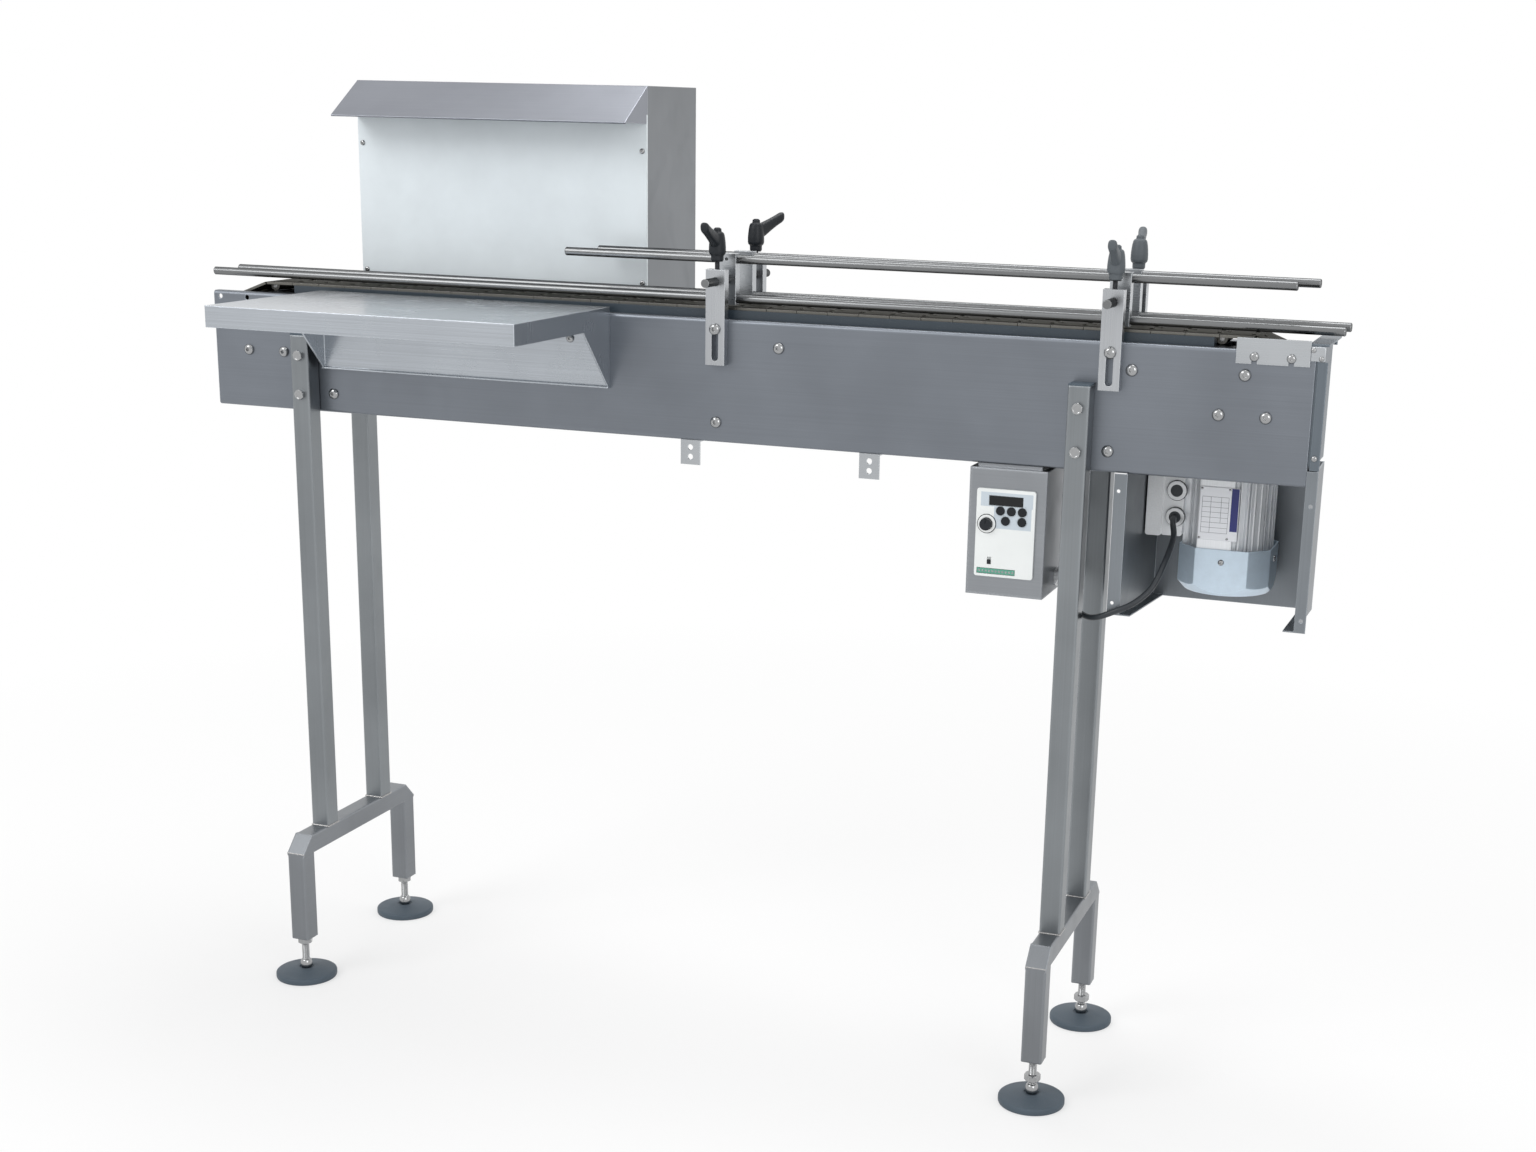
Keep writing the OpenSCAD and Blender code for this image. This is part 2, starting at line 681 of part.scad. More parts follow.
module cable_glands() color(black) shift() {
    // Gland and blank plug in the terminal box
    translate([gland_x, box_face - 5, gland_z]) difference() {
        union() { rod_y(22, 5); translate([0, 5, 0]) rod_y(16 - 2 * bore_gap, 8); }
        translate([0, -1, 0]) rod_y(cable_d + 0.6, 16);
    }
    translate([gland_x, box_face - 3, gland_z + 31]) {
        rod_y(23, 3);
        translate([0, 3, 0]) rod_y(16 - 2 * bore_gap, 8);
    }
    // Gland in the side of the control box
    translate(ctrl_gland) difference() {
        rod_x(22, 8);
        translate([-1, 0, 0]) rod_x(cable_d + 0.6, 10);
    }
}

// Motor cable

cable_d = 7;
ctrl_gland = [ctrl_x + ctrl_w, 8, ctrl_bot + 16];
// From the motor's gland round the front of the guard to the control box
cable_route = concat(
    [for (d = [[0, 3.5, 0], [0, -9, 0], [2, -25, -4], [8, -50, -17], [5, -80, -40], [-4, -100, -66], [-21, -113, -83]])
        [gland_x, box_face, gland_z] + d],
    [for (d = [[88, -71, -19], [71, -69, -27], [57, -62, -31], [43, -52, -29], [29, -38, -21], [19, -17, -9],
        [13, -3, -1.5], [8, 0, 0], [2, 0, 0]]) ctrl_gland + d]);
cable_steps = 4;
cable_sides = 10;
// Smooth curve through the route, in equal steps between its points
function route_at(k) = cable_route[max(0, min(len(cable_route) - 1, k))];
function cable_point(i) = let(k = floor(i / cable_steps), t = i / cable_steps - k,
    a = route_at(k - 1), b = route_at(k), c = route_at(k + 1), d = route_at(k + 2))
    0.5 * (2 * b + (c - a) * t + (2 * a - 5 * b + 4 * c - d) * t * t + (3 * b - a - 3 * c + d) * t * t * t);
cable_rings = (len(cable_route) - 1) * cable_steps + 1;
function unit(v) = v / norm(v);
function cable_ring(i) = let(p = cable_point(i),
    w = unit(cable_point(min(i + 1, cable_rings - 1)) - cable_point(max(i - 1, 0))),
    u = unit(cross(w, [0.31, 0.2, 1])), v = cross(w, u))
    [for (j = [0 : cable_sides - 1]) let(a = 360 * j / cable_sides) p + cable_d / 2 * (cos(a) * u + sin(a) * v)];

module motor_cable() color(black) shift() polyhedron(
    points = [for (i = [0 : cable_rings - 1]) each cable_ring(i)],
    faces = concat(
        [[for (j = [0 : cable_sides - 1]) j]],
        [for (i = [0 : cable_rings - 2], j = [0 : cable_sides - 1]) let(n = (j + 1) % cable_sides)
            [i * cable_sides + j, (i + 1) * cable_sides + j, (i + 1) * cable_sides + n, i * cable_sides + n]],
        [[for (j = [cable_sides - 1 : -1 : 0]) (cable_rings - 1) * cable_sides + j]]));

// Guard, end cover and small brackets

// Slice of the guard's side outline, w wide, its lower edge raked to the back
module guard_slice(x, w, top) translate([x, 0, 0]) rotate([90, 0, 90]) linear_extrude(w) polygon([
    [guard_front, guard_low], [guard_front, top], [guard_y, top], [guard_y, guard_low - guard_rake]]);

// Inward fold along a lower edge
module guard_fold(x) translate([x, 0, 0]) rotate([90, 0, 90]) linear_extrude(12) polygon([
    [guard_front, guard_low], [guard_y, guard_low - guard_rake],
    [guard_y, guard_low - guard_rake + guard_t], [guard_front, guard_low + guard_t]]);

module motor_guard() color(steel) shift() {
    right = frame_l + gap;
    wide = right - guard_x + 2 * guard_t - (guard_y - guard_front) * tan(guard_turn);
    guard_slice(guard_x - guard_t, guard_t, plate_bot);
    guard_fold(guard_x);
    // The right wall and its fold lean in towards the back
    translate([right, guard_front, 0]) rotate(guard_turn) translate([-right, -guard_front, 0]) {
        guard_slice(right, guard_t, plate_bot - gap);
        guard_fold(right - 12);
    }
    // Back wall
    intersection() {
        guard_slice(guard_x - guard_t, wide, plate_bot);
        translate([guard_x - guard_t, guard_y - guard_t, guard_low - 2 * guard_rake - 1])
            cube([wide, guard_t, guard_h + 3 * guard_rake + 2]);
    }
    // Front flanges
    difference() {
        union() {
            translate([guard_x - guard_flange, guard_front, guard_low]) cube([guard_flange, guard_t, guard_h - gap]);
            translate([right, guard_front, guard_low]) cube([cover_x - right, guard_t, cover_bot - guard_low]);
        }
        for (x = [guard_x - guard_flange + 5.5, cover_x - 5.5], z = [14, guard_h - 20])
            translate([x, guard_front - 1, guard_low + z]) rod_y(4.2, guard_t + 2);
    }
}

module end_cover() color(steel) shift() {
    low = cover_bot + 1;
    top = chain_top - 5.5;
    wall = frame_l + 2.5;
    translate([wall, guard_front, low]) cube([guard_t, half_w - guard_front, top - low]);
    // Front flange, in line with the guard's below it
    translate([wall, guard_front, low]) cube([cover_x - wall, guard_t, plate_top - 9 - low]);
    // Flaps inside the side plates
    mirror_y() translate([drive_x + 55, -inner_y + gap, low + 4])
        cube([wall - drive_x - 55 + 1, guard_t, plate_top - 5 - low - 4]);
    // Transfer plate over the gap at the end of the chain
    translate([cover_x - 21, -half_w, top]) cube([21, frame_w, 2.5]);
    mirror_y() translate([cover_x - 19, -half_w, plate_top]) cube([15, 3.5, top - plate_top]);
}

module small_brackets() color(bright) shift() {
    // Joining bracket at the drive end
    difference() {
        translate([join_x[2] - 20, -half_w - 2.5, join_z - 8]) cube([80, 2.5, 28]);
        for (x = [join_x[2], join_x[3]]) {
            translate([x, -half_w - 4, join_z]) rod_y(6, 5);
            translate([x - 3, -half_w - 4, join_z - 10]) cube([6, 5, 10]);
        }
    }
    // Sensor tabs under the near side plate
    for (x = tab_x) translate([x, -half_w + 3, plate_bot - 30]) difference() {
        union() {
            cube([25, 2, 30]);
            translate([0, 0, 28]) cube([25, bottom_lip - 4, 2]);
        }
        for (z = [9.5, 21]) translate([12.5, -1, z]) rod_y(7, 4);
    }
}

tab_x = [652, 880];

// Stands

module tube_section(in) round_rect(tube - 2 * in, tube - 2 * in, max(tube_r - in, 0.5));

// Square tube standing on the plane z = 0, centred on the axis
module tube_solid(l, in = 0) translate([in - tube / 2, in - tube / 2, 0]) linear_extrude(l) tube_section(in);

module uprights() color(steel) shift() for (x = stand_x) mirror_y() difference() {
    translate([x, -upright_y, beam_top]) difference() {
        tube_solid(upright_top - beam_top);
        translate([0, 0, -1]) tube_solid(upright_top - beam_top + 2, tube_wall);
    }
    for (z = stand_bolt_z) translate([x, -upright_y - tube, z]) rod_y(bolt_d, 2 * tube);
}

module upright_caps() color(slate) shift() for (x = stand_x) mirror_y()
    translate([x, -upright_y, upright_top]) {
        tube_solid(2);
        translate([0, 0, -10]) tube_solid(11, tube_wall + bore_gap);
    }

// Cross beam and legs of one stand, drawn smaller by the wall for the hollow
module base_shape(in) difference() {
    union() {
        translate([0, leg_out - in, beam_top - tube / 2]) rotate([90, 0, 0])
            translate([0, 0, 0]) tube_solid(2 * (leg_out - in), in);
        for (s = [-1, 1]) translate([0, s * leg_y, leg_low + (in > 0 ? 5 : 0)])
            tube_solid(beam_top - leg_low - in - (in > 0 ? 5 : 0), in);
    }
    // Mitred corners
    for (s = [0, 1]) mirror([0, s, 0]) translate([0, -leg_out, beam_top - mitre_drop])
        rotate([45, 0, 0]) translate([-tube, -tube, -in]) cube([2 * tube, 3 * tube, 2 * tube]);
}

module stand_bases() color(steel) shift() for (x = stand_x) translate([x, 0, 0]) difference() {
    base_shape(0);
    base_shape(tube_wall);
    for (s = [-1, 1]) translate([0, s * leg_y, leg_low - 1]) cylinder(d = spindle_d + 2 * bore_gap, h = 8);
}

module hex_nut(h, d) difference() {
    cylinder(d = nut_flats / cos(30), h = h, $fn = 6);
    translate([0, 0, -1]) cylinder(d = d, h = h + 2);
}

module stand_fasteners() color(bright) shift() {
    mirror_y() for (x = stand_x) {
        translate([x, -upright_y - tube / 2, stand_bolt_z[0]]) hex_bolt(bolt_d, tube + plate_t + 8);
        translate([x, -upright_y - tube / 2, stand_bolt_z[1]]) hex_bolt(bolt_d, tube + plate_t + 7.5);
        translate([x, -inner_y + 6, stand_bolt_z[0]]) rotate([90, 0, 0]) difference() {
            cylinder(d = bolt_d * 1.85, h = 6, $fn = 6);
            translate([0, 0, -1]) cylinder(d = bolt_d, h = 8);
        }
        // Lock nuts under the left legs
        if (x == stand_x[0]) translate([x, -leg_y, leg_low - 8]) hex_nut(8, spindle_d + 2 * bore_gap);
    }
}

// Levelling foot: a flat pad and a threaded spindle with a ball end
module foot(nut) {
    color(slate) difference() {
        rotate_extrude() polygon([[0, 0], [pad_d / 2 - 2, 0], [pad_d / 2, 2], [pad_d / 2, 7],
            [pad_d / 2 - 1.5, 8.5], [10, 13.5], [0, 13.5]]);
        translate([0, 0, 7]) cylinder(d = spindle_d, h = 20);
    }
    color(bright) translate([0, 0, 7]) cylinder(d = spindle_d, h = leg_low + 50 - 7);
    // Ball end of the spindle
    color(bright) rotate_extrude() polygon([[spindle_d / 2, 13.5], [spindle_d / 2 + 2, 13.5],
        [spindle_d / 2 + 3, 17], [spindle_d / 2 + 2, 23], [spindle_d / 2, 24.5]]);
    if (nut) color(bright) translate([0, 0, 29]) hex_nut(8, spindle_d);
}
module foot_near_left() shift() translate([stand_x[0], -leg_y, 0]) foot(false);
module foot_near_right() shift() translate([stand_x[1], -leg_y, 0]) foot(true);
module foot_far_left() shift() translate([stand_x[0], leg_y, 0]) foot(false);
module foot_far_right() shift() translate([stand_x[1], leg_y, 0]) foot(true);

// Tray

module tray() color(bright) shift() difference() {
    union() {
        // Top sheet and front lip
        translate([tray_in, -tray_y, tray_z - tray_t]) cube([tray_l, tray_d, tray_t]);
        translate([tray_in, -tray_y, tray_z - tray_lip]) cube([tray_l, tray_t, tray_lip]);
        // Side lips that widen into gussets at the back
        for (x = [tray_in, tray_in + tray_l - tray_t]) translate([x, 0, 0]) rotate([90, 0, 90])
            linear_extrude(tray_t) polygon([[-tray_y, tray_z], [-tray_y, tray_z - tray_lip],
                [-half_w - 72, tray_z - tray_lip], [-half_w - 4, tray_z - tray_back],
                [-half_w, tray_z - tray_back], [-half_w, tray_z]]);
        // Back plate with a stiffening fold
        translate([tray_in, -half_w - tray_t, tray_z - tray_back]) cube([tray_l, tray_t, tray_back]);
        translate([tray_in, -half_w - 7, tray_z - tray_back]) cube([tray_l, 7, tray_t]);
    }
    for (x = tray_bolt_x) translate([x, -half_w - tray_t - 1, tray_bolt_z]) rod_y(6, tray_t + 2);
    // Room for the head of the spacer bolt behind it
    translate([spacer_x[0], -half_w - 10, spacer_z]) rod_y(head_d + 2, 12);
}

// Light box

module light_housing() color(steel) shift() translate([light_in, light_y, light_bot]) difference() {
    cube([light_l, light_d, light_h]);
    translate([light_t, light_t, light_t]) cube([light_l - 2 * light_t, light_d - 2 * light_t, light_h - 2 * light_t]);
    translate([16, -1, screen_bot + 14 - light_bot]) cube([light_l - 32, light_t + 2, screen_top - screen_bot - 28]);
}

module light_visor() color(steel) shift() {
    // Sloping sheet and its end cheeks, one folded piece
    outline = [[light_y, light_top], [light_y - visor_reach, light_top - visor_fall],
        [light_y - visor_reach + 1.2, light_top - visor_fall - 1.6], [light_y, light_top - 3]];
    translate([light_in, 0, 0]) rotate([90, 0, 90]) linear_extrude(light_l) polygon(outline);
    for (x = [light_in, light_in + light_l - 1.5]) translate([x, 0, 0]) rotate([90, 0, 90])
        linear_extrude(1.5) polygon([[light_y, light_top], [light_y - visor_reach, light_top - visor_fall],
            [light_y - screen_t, light_top - visor_fall - 1.6], [light_y - screen_t, screen_top], [light_y, screen_top]]);
}

module diffuser() color(white) shift() difference() {
    translate([light_in, light_y - screen_t, screen_bot]) cube([light_l, screen_t, screen_top - screen_bot]);
}

module lamps() color(white) shift() for (z = [0.35, 0.72]) translate([light_in + 32, light_y + light_d * 0.5, light_bot + light_h * z]) {
    rod_x(lamp_d, light_l - 64);
    // Lamp holders at both ends
    for (x = [-30, light_l - 64]) translate([x, -lamp_d / 2 - 4, -lamp_d / 2 - 4]) cube([30, lamp_d + 8, lamp_d + 8]);
}

module light_bracket() color(bright) shift() difference() {
    union() {
        translate([light_in + 50, half_w, light_bot - 70]) cube([light_l - 100, screen_t, 70]);
        translate([light_in + 50, half_w, light_bot - 3]) cube([light_l - 100, 80, 3]);
    }
    for (x = bracket_x, z = bracket_z) translate([x, half_w - 1, z]) rod_y(6, screen_t + 2);
    // Room for the head of the spacer bolt
    translate([spacer_x[0], half_w - 1, spacer_z]) rod_y(head_d + 2, 12);
}

// Guide rails

// Slotted post bar on the near side
module post(x) translate([x - post_w / 2, -post_y - post_t, post_bot]) difference() {
    cube([post_w, post_t, post_h]);
    for (z = [slot_end, post_bolt_z]) translate([post_w / 2, -1, z - post_bot]) rod_y(slot_w, post_t + 2);
    translate([(post_w - slot_w) / 2, -1, slot_end - post_bot]) cube([slot_w, post_t + 2, post_travel]);
    translate([post_w / 2, -1, rod_z - post_bot]) rod_y(rail_d + 2 * bore_gap, post_t + 2);
    translate([post_w / 2, post_t / 2, rod_z - post_bot]) cylinder(d = stud_d + 2 * bore_gap, h = rod_drop + 1);
}
module near_posts() color(bright) shift() for (x = post_x) post(x);
module far_posts() color(bright) shift() mirror([0, 1, 0]) for (x = post_x) post(x);

// Block that carries both rails behind a post
module block(x) translate([x - post_w / 2, -rail_y - block_t / 2, block_low]) difference() {
    cube([post_w, block_t, block_top - block_low]);
    for (z = [low_z, up_z]) translate([-1, block_t / 2, z - block_low]) rod_x(rail_d, post_w + 2);
    translate([post_w / 2, -1, rod_z - block_low]) rod_y(rail_d, 9);
    // Set screws that hold the rails
    for (z = [low_z, up_z]) translate([post_w / 2, -1, z - block_low]) rod_y(4, block_t / 2);
}
module near_blocks() color(bright) shift() for (x = post_x) block(x);
module far_blocks() color(bright) shift() mirror([0, 1, 0]) for (x = post_x) block(x);

// Rail with rounded-off ends, along X
module rail(x, l, z) translate([x, -rail_y, z]) rotate([0, 90, 0]) {
    r = rail_d / 2;
    rotate_extrude() polygon([[0, 0], [r - 1, 0], [r, 1], [r, l - 1], [r - 1, l], [0, l]]);
}
module rails(shifted) {
    rail(-rail_past_tail, frame_l + rail_past_tail + rail_past_drive, low_z);
    rail(post_x[0] - upper_lead + shifted, upper_l, up_z);
    // Cross rods through the posts
    for (x = post_x) translate([x, -rod_end, rod_z]) rod_y(rail_d, rod_end - rail_y - block_t / 2 + 8);
}
module near_rails() color(bright) shift() rails(0);
module far_rails() color(bright) shift() mirror([0, 1, 0]) rails(upper_shift);

// Clamp lever: hub, raised arm and stud, turned to the angle a
module lever(a, up = 0) color(black) translate([0, 0, up]) rotate(a) {
    rotate_extrude() polygon([[0, 0], [hub_d / 2 - 2, 0], [hub_d / 2 - 1, 3], [hub_d / 2, hub_h * 0.55],
        [hub_d / 2 - 1, hub_h * 0.8], [hub_d / 2 - 4, hub_h], [0, hub_h]]);
    hull() {
        translate([3, 0, hub_h * 0.66]) sphere(d = hub_d * 0.62, $fn = 20);
        translate([arm_l * 0.62, 0, hub_h * 0.86]) sphere(d = 8, $fn = 20);
    }
    hull() {
        translate([arm_l * 0.62, 0, hub_h * 0.86]) sphere(d = 8, $fn = 20);
        translate([arm_l - 5, 0, hub_h * 1.03]) sphere(d = 11, $fn = 20);
    }
    stud_l = hub_z - rod_z - rail_d / 2 - gap + up;
    color(steel) translate([0, 0, -stud_l]) cylinder(d = stud_d, h = stud_l + 2);
}
lever_y = post_y + post_t / 2;
// The far levers stand this much higher on their studs
lever_rise = 5;
module near_left_lever() shift() translate([post_x[0], -lever_y, hub_z]) lever(-90);
module near_right_lever() shift() translate([post_x[1], -lever_y, hub_z]) lever(-86);
module far_left_lever() shift() translate([post_x[0], lever_y, hub_z]) lever(52, lever_rise);
module far_right_lever() shift() translate([post_x[1], lever_y, hub_z]) lever(98, lever_rise);

// Controls

module control_box() color(steel) shift() difference() {
    union() {
        translate([ctrl_x, -half_w, ctrl_bot]) cube([ctrl_w, ctrl_d, ctrl_h]);
        // Mounting plate against the lips of the side plates
        translate([ctrl_x + 8, -half_w + 5, ctrl_top]) cube([ctrl_w - 16, frame_w - 10, 5]);
    }
    translate([ctrl_x + ctrl_t, -half_w + ctrl_t, ctrl_bot + ctrl_t])
        cube([ctrl_w - 2 * ctrl_t, ctrl_d - 2 * ctrl_t, ctrl_h - 2 * ctrl_t]);
    // Opening for the controller
    translate([face_x + 3, -half_w - 1, face_z + 3]) cube([face_w - 6, 12, face_h - 6]);
    // Cable entry
    translate([ctrl_x + ctrl_w - 4, ctrl_gland[1], ctrl_gland[2]]) rod_x(cable_d + 1, 6);
}

// Button centres from the low corner of the controller's face
run_at = [28.7, 78];
up_at = [41.7, 78];
down_at = [54.7, 78];
mode_at = [35.2, 66.5];
stop_at = [54.7, 66.5];
knob_at = [13, 62];
switch_at = [17.5, 19];

module on_face(p) translate([face_x + p[0], key_y, face_z + p[1]]) children();

module inverter_face() color(cream) shift() difference() {
    union() {
        translate([face_x, key_y, face_z]) round_box([face_w, face_t, face_h], 3);
        translate([face_x + 3.3, -half_w - 0.1, face_z + 3.3]) cube([face_w - 6.6, 40, face_h - 6.6]);
        // Raised ring round the knob
        on_face(knob_at) translate([0, -1, 0]) rod_y(knob_d + 7, 2);
    }
    for (p = [run_at, up_at, down_at, mode_at, stop_at])
        on_face(p) translate([0, -1, 0]) rod_y(button_d + 2 * gap, 7);
    on_face(knob_at) translate([0, -2, 0]) rod_y(knob_d + 2 * gap, 5);
    on_face(knob_at) rod_y(4 + 2 * bore_gap, 9);
    on_face(switch_at) translate([-2 - gap, -1, -4 - gap]) cube([4 + 2 * gap, 4, 8 + 2 * gap]);
    // Display window
    on_face([14.5, 83.5]) translate([0, -1, 0]) cube([41, 2, 12]);
    // Terminal row
    on_face([3, 3]) translate([0, -1, 0]) cube([46, 3, 7]);
}

module speed_knob() color(black) shift() on_face(knob_at) {
    translate([0, -7, 0]) difference() {
        rod_y(knob_d, 9.5);
        translate([-0.6, -1, 1]) cube([1.2, 2, knob_d / 2]);
    }
    rod_y(4, 8.5);
}

module push_button() translate([0, -1.6, 0]) rod_y(button_d, 6.4);
module button_run() color(slate) shift() on_face(run_at) push_button();
module button_up() color(slate) shift() on_face(up_at) push_button();
module button_down() color(slate) shift() on_face(down_at) push_button();
module button_mode() color(slate) shift() on_face(mode_at) push_button();
module button_stop() color(slate) shift() on_face(stop_at) push_button();
module slide_switch() color(black) shift() on_face(switch_at) translate([-2, -0.8, -4]) cube([4, 3.5, 4.5]);

near_plate();
far_plate();
cross_spacers();
frame_bolts();
guide_strips();
chain_carry();
chain_return();
chain_drive_wrap();
chain_tail_wrap();
chain_pins();
drive_shaft();
drive_sprocket();
tail_shaft();
tail_sprocket();
bearings();
gearbox_housing();
motor_body();
terminal_box();
cable_glands();
motor_cable();
fan_cowl();
motor_rotor();
motor_guard();
end_cover();
small_brackets();
uprights();
upright_caps();
stand_bases();
stand_fasteners();
foot_near_left();
foot_near_right();
foot_far_left();
foot_far_right();
tray();
light_housing();
light_visor();
diffuser();
lamps();
light_bracket();
near_posts();
far_posts();
near_blocks();
far_blocks();
near_rails();
far_rails();
near_left_lever();
near_right_lever();
far_left_lever();
far_right_lever();
control_box();
inverter_face();
speed_knob();
button_run();
button_up();
button_down();
button_mode();
button_stop();
slide_switch();
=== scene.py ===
import math
import bpy
import bmesh
from mathutils import Matrix, Vector


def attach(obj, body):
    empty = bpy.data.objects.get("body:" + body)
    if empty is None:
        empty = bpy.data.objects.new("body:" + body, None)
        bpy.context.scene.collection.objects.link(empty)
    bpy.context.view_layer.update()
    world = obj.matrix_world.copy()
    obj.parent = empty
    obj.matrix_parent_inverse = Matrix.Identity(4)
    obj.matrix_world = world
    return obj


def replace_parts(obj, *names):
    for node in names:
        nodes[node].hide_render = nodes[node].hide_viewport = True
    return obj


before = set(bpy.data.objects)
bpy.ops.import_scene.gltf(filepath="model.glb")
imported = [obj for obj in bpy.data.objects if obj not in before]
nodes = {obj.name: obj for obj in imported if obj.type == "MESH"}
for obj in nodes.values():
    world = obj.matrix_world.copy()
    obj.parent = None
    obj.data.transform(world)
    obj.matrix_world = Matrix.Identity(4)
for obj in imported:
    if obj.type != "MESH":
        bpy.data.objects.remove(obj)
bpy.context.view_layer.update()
frameBody = "frame_body"
print("frame loaded:", len(nodes), "nodes")

# Places below are in millimetres from the tail end of the frame (x), its middle line (y, away
# from the operator) and the floor (z), as in the part's source. at() turns them into the frame's metres.
origin = (703.8875, -46.0)


def at(x, y, z):
    return Vector(((x - origin[0]) / 1000, (y - origin[1]) / 1000, z / 1000))


# Camera

cameraSetup = {"place": (0.9718, -2.3659, 1.1428), "turn": (73.926, -1.264, 19.704), "lens": 49.92,
               "shift": (-0.0384, 0.0933)}


def addCamera(setup):
    data = bpy.data.cameras.new("camera")
    data.lens = setup["lens"]
    data.sensor_width = 36
    data.shift_x, data.shift_y = setup["shift"]
    data.clip_start, data.clip_end = 0.05, 60
    camera = bpy.data.objects.new("camera", data)
    camera.location = setup["place"]
    camera.rotation_euler = [math.radians(a) for a in setup["turn"]]
    bpy.context.scene.collection.objects.link(camera)
    bpy.context.scene.camera = camera


addCamera(cameraSetup)


# Node helpers

def put(tree, kind, settings=None, **sockets):
    # A node with its settings; each socket takes a value or the output that feeds it
    node = tree.nodes.new(kind)
    for key, value in (settings or {}).items():
        setattr(node, key, value)
    for key, value in sockets.items():
        byNumber = key[0] == "i" and key[1:].isdigit()
        socket = node.inputs[int(key[1:]) if byNumber else key.replace("_", " ")]
        if isinstance(value, bpy.types.NodeSocket):
            tree.links.new(value, socket)
        else:
            socket.default_value = value
    return node


def calc(tree, operation, a, b=0.0, clamp=False):
    return put(tree, "ShaderNodeMath", {"operation": operation, "use_clamp": clamp}, i0=a, i1=b).outputs[0]


def mixColour(tree, amount, a, b):
    node = put(tree, "ShaderNodeMix", {"data_type": "RGBA"}, i0=amount, i6=a, i7=b)
    return node.outputs[2]


def spread(tree, value, low, high, fromLow=0.0, fromHigh=1.0):
    return put(tree, "ShaderNodeMapRange", {}, i0=value, i1=fromLow, i2=fromHigh, i3=low, i4=high).outputs[0]


def rgb(colour, gain=1.0):
    return (colour[0] * gain, colour[1] * gain, colour[2] * gain, 1.0)


def newGroup(name, inputs, outputs):
    group = bpy.data.node_groups.new(name, "ShaderNodeTree")
    for socketName, kind, value in inputs:
        socket = group.interface.new_socket(name=socketName, in_out="INPUT", socket_type=kind)
        socket.default_value = value
    for socketName, kind in outputs:
        group.interface.new_socket(name=socketName, in_out="OUTPUT", socket_type=kind)
    return group, group.nodes.new("NodeGroupInput"), group.nodes.new("NodeGroupOutput")


# Shared effects

def buildGrainGroup():
    # Brushed streaks stretched along one direction, and soft clouds of unevenness. Faces that look
    # along the axis would show the streaks end on, so they take the other stretch
    group, given, made = newGroup("brushedGrain",
        [("Stretch", "NodeSocketVector", (8.0, 500.0, 500.0)), ("Other", "NodeSocketVector", (500.0, 500.0, 8.0)),
         ("Axis", "NodeSocketVector", (1.0, 0.0, 0.0)), ("Cloud Scale", "NodeSocketFloat", 7.0)],
        [("Streak", "NodeSocketFloat"), ("Cloud", "NodeSocketFloat")])
    spot = put(group, "ShaderNodeTexCoord")
    place = spot.outputs["Object"]
    streaks = []
    for index in (0, 1):
        long = put(group, "ShaderNodeVectorMath", {"operation": "MULTIPLY"}, i0=place, i1=given.outputs[index])
        noise = put(group, "ShaderNodeTexNoise", {}, Vector=long.outputs[0], Scale=1.0, Detail=6.0, Roughness=0.62)
        streaks.append(noise.outputs[0])
    along = put(group, "ShaderNodeVectorMath", {"operation": "DOT_PRODUCT"}, i0=spot.outputs["Normal"],
                i1=given.outputs[2])
    turned = calc(group, "GREATER_THAN", calc(group, "ABSOLUTE", along.outputs["Value"]), 0.7)
    streak = put(group, "ShaderNodeMix", {"data_type": "FLOAT"}, i0=turned, i2=streaks[0], i3=streaks[1])
    cloud = put(group, "ShaderNodeTexNoise", {}, Vector=place, Scale=given.outputs[3], Detail=3.0, Roughness=0.5)
    group.links.new(streak.outputs[0], made.inputs[0])
    group.links.new(cloud.outputs[0], made.inputs[1])
    return group


def buildEdgeGroup():
    # Small rounding of sharp edges, and a mask where the rounding is
    group, given, made = newGroup("softEdges", [("Radius", "NodeSocketFloat", 0.0008)],
        [("Edge", "NodeSocketFloat"), ("Normal", "NodeSocketVector")])
    rounded = put(group, "ShaderNodeBevel", {"samples": 4}, Radius=given.outputs[0])
    facing = put(group, "ShaderNodeNewGeometry").outputs["Normal"]
    dot = put(group, "ShaderNodeVectorMath", {"operation": "DOT_PRODUCT"}, i0=rounded.outputs[0], i1=facing)
    edge = calc(group, "MULTIPLY", calc(group, "SUBTRACT", 1.0, dot.outputs["Value"]), 9.0, True)
    group.links.new(edge, made.inputs[0])
    group.links.new(rounded.outputs[0], made.inputs[1])
    return group


def buildMarkGroup():
    # Fingermarks and dust: broken patches and fine specks
    group, given, made = newGroup("handMarks", [("Patch Scale", "NodeSocketFloat", 18.0)],
        [("Smudge", "NodeSocketFloat"), ("Speck", "NodeSocketFloat")])
    place = put(group, "ShaderNodeTexCoord").outputs["Object"]
    patch = put(group, "ShaderNodeTexNoise", {}, Vector=place, Scale=given.outputs[0], Detail=5.0, Distortion=0.8)
    speck = put(group, "ShaderNodeTexNoise", {}, Vector=place, Scale=900.0, Detail=2.0)
    group.links.new(spread(group, patch.outputs[0], 0.0, 1.0, 0.52, 0.72), made.inputs[0])
    group.links.new(spread(group, speck.outputs[0], 0.0, 1.0, 0.6, 0.8), made.inputs[1])
    return group


grainGroup, edgeGroup, markGroup = buildGrainGroup(), buildEdgeGroup(), buildMarkGroup()


def useGroup(tree, group, **sockets):
    return put(tree, "ShaderNodeGroup", {"node_tree": group}, **sockets)


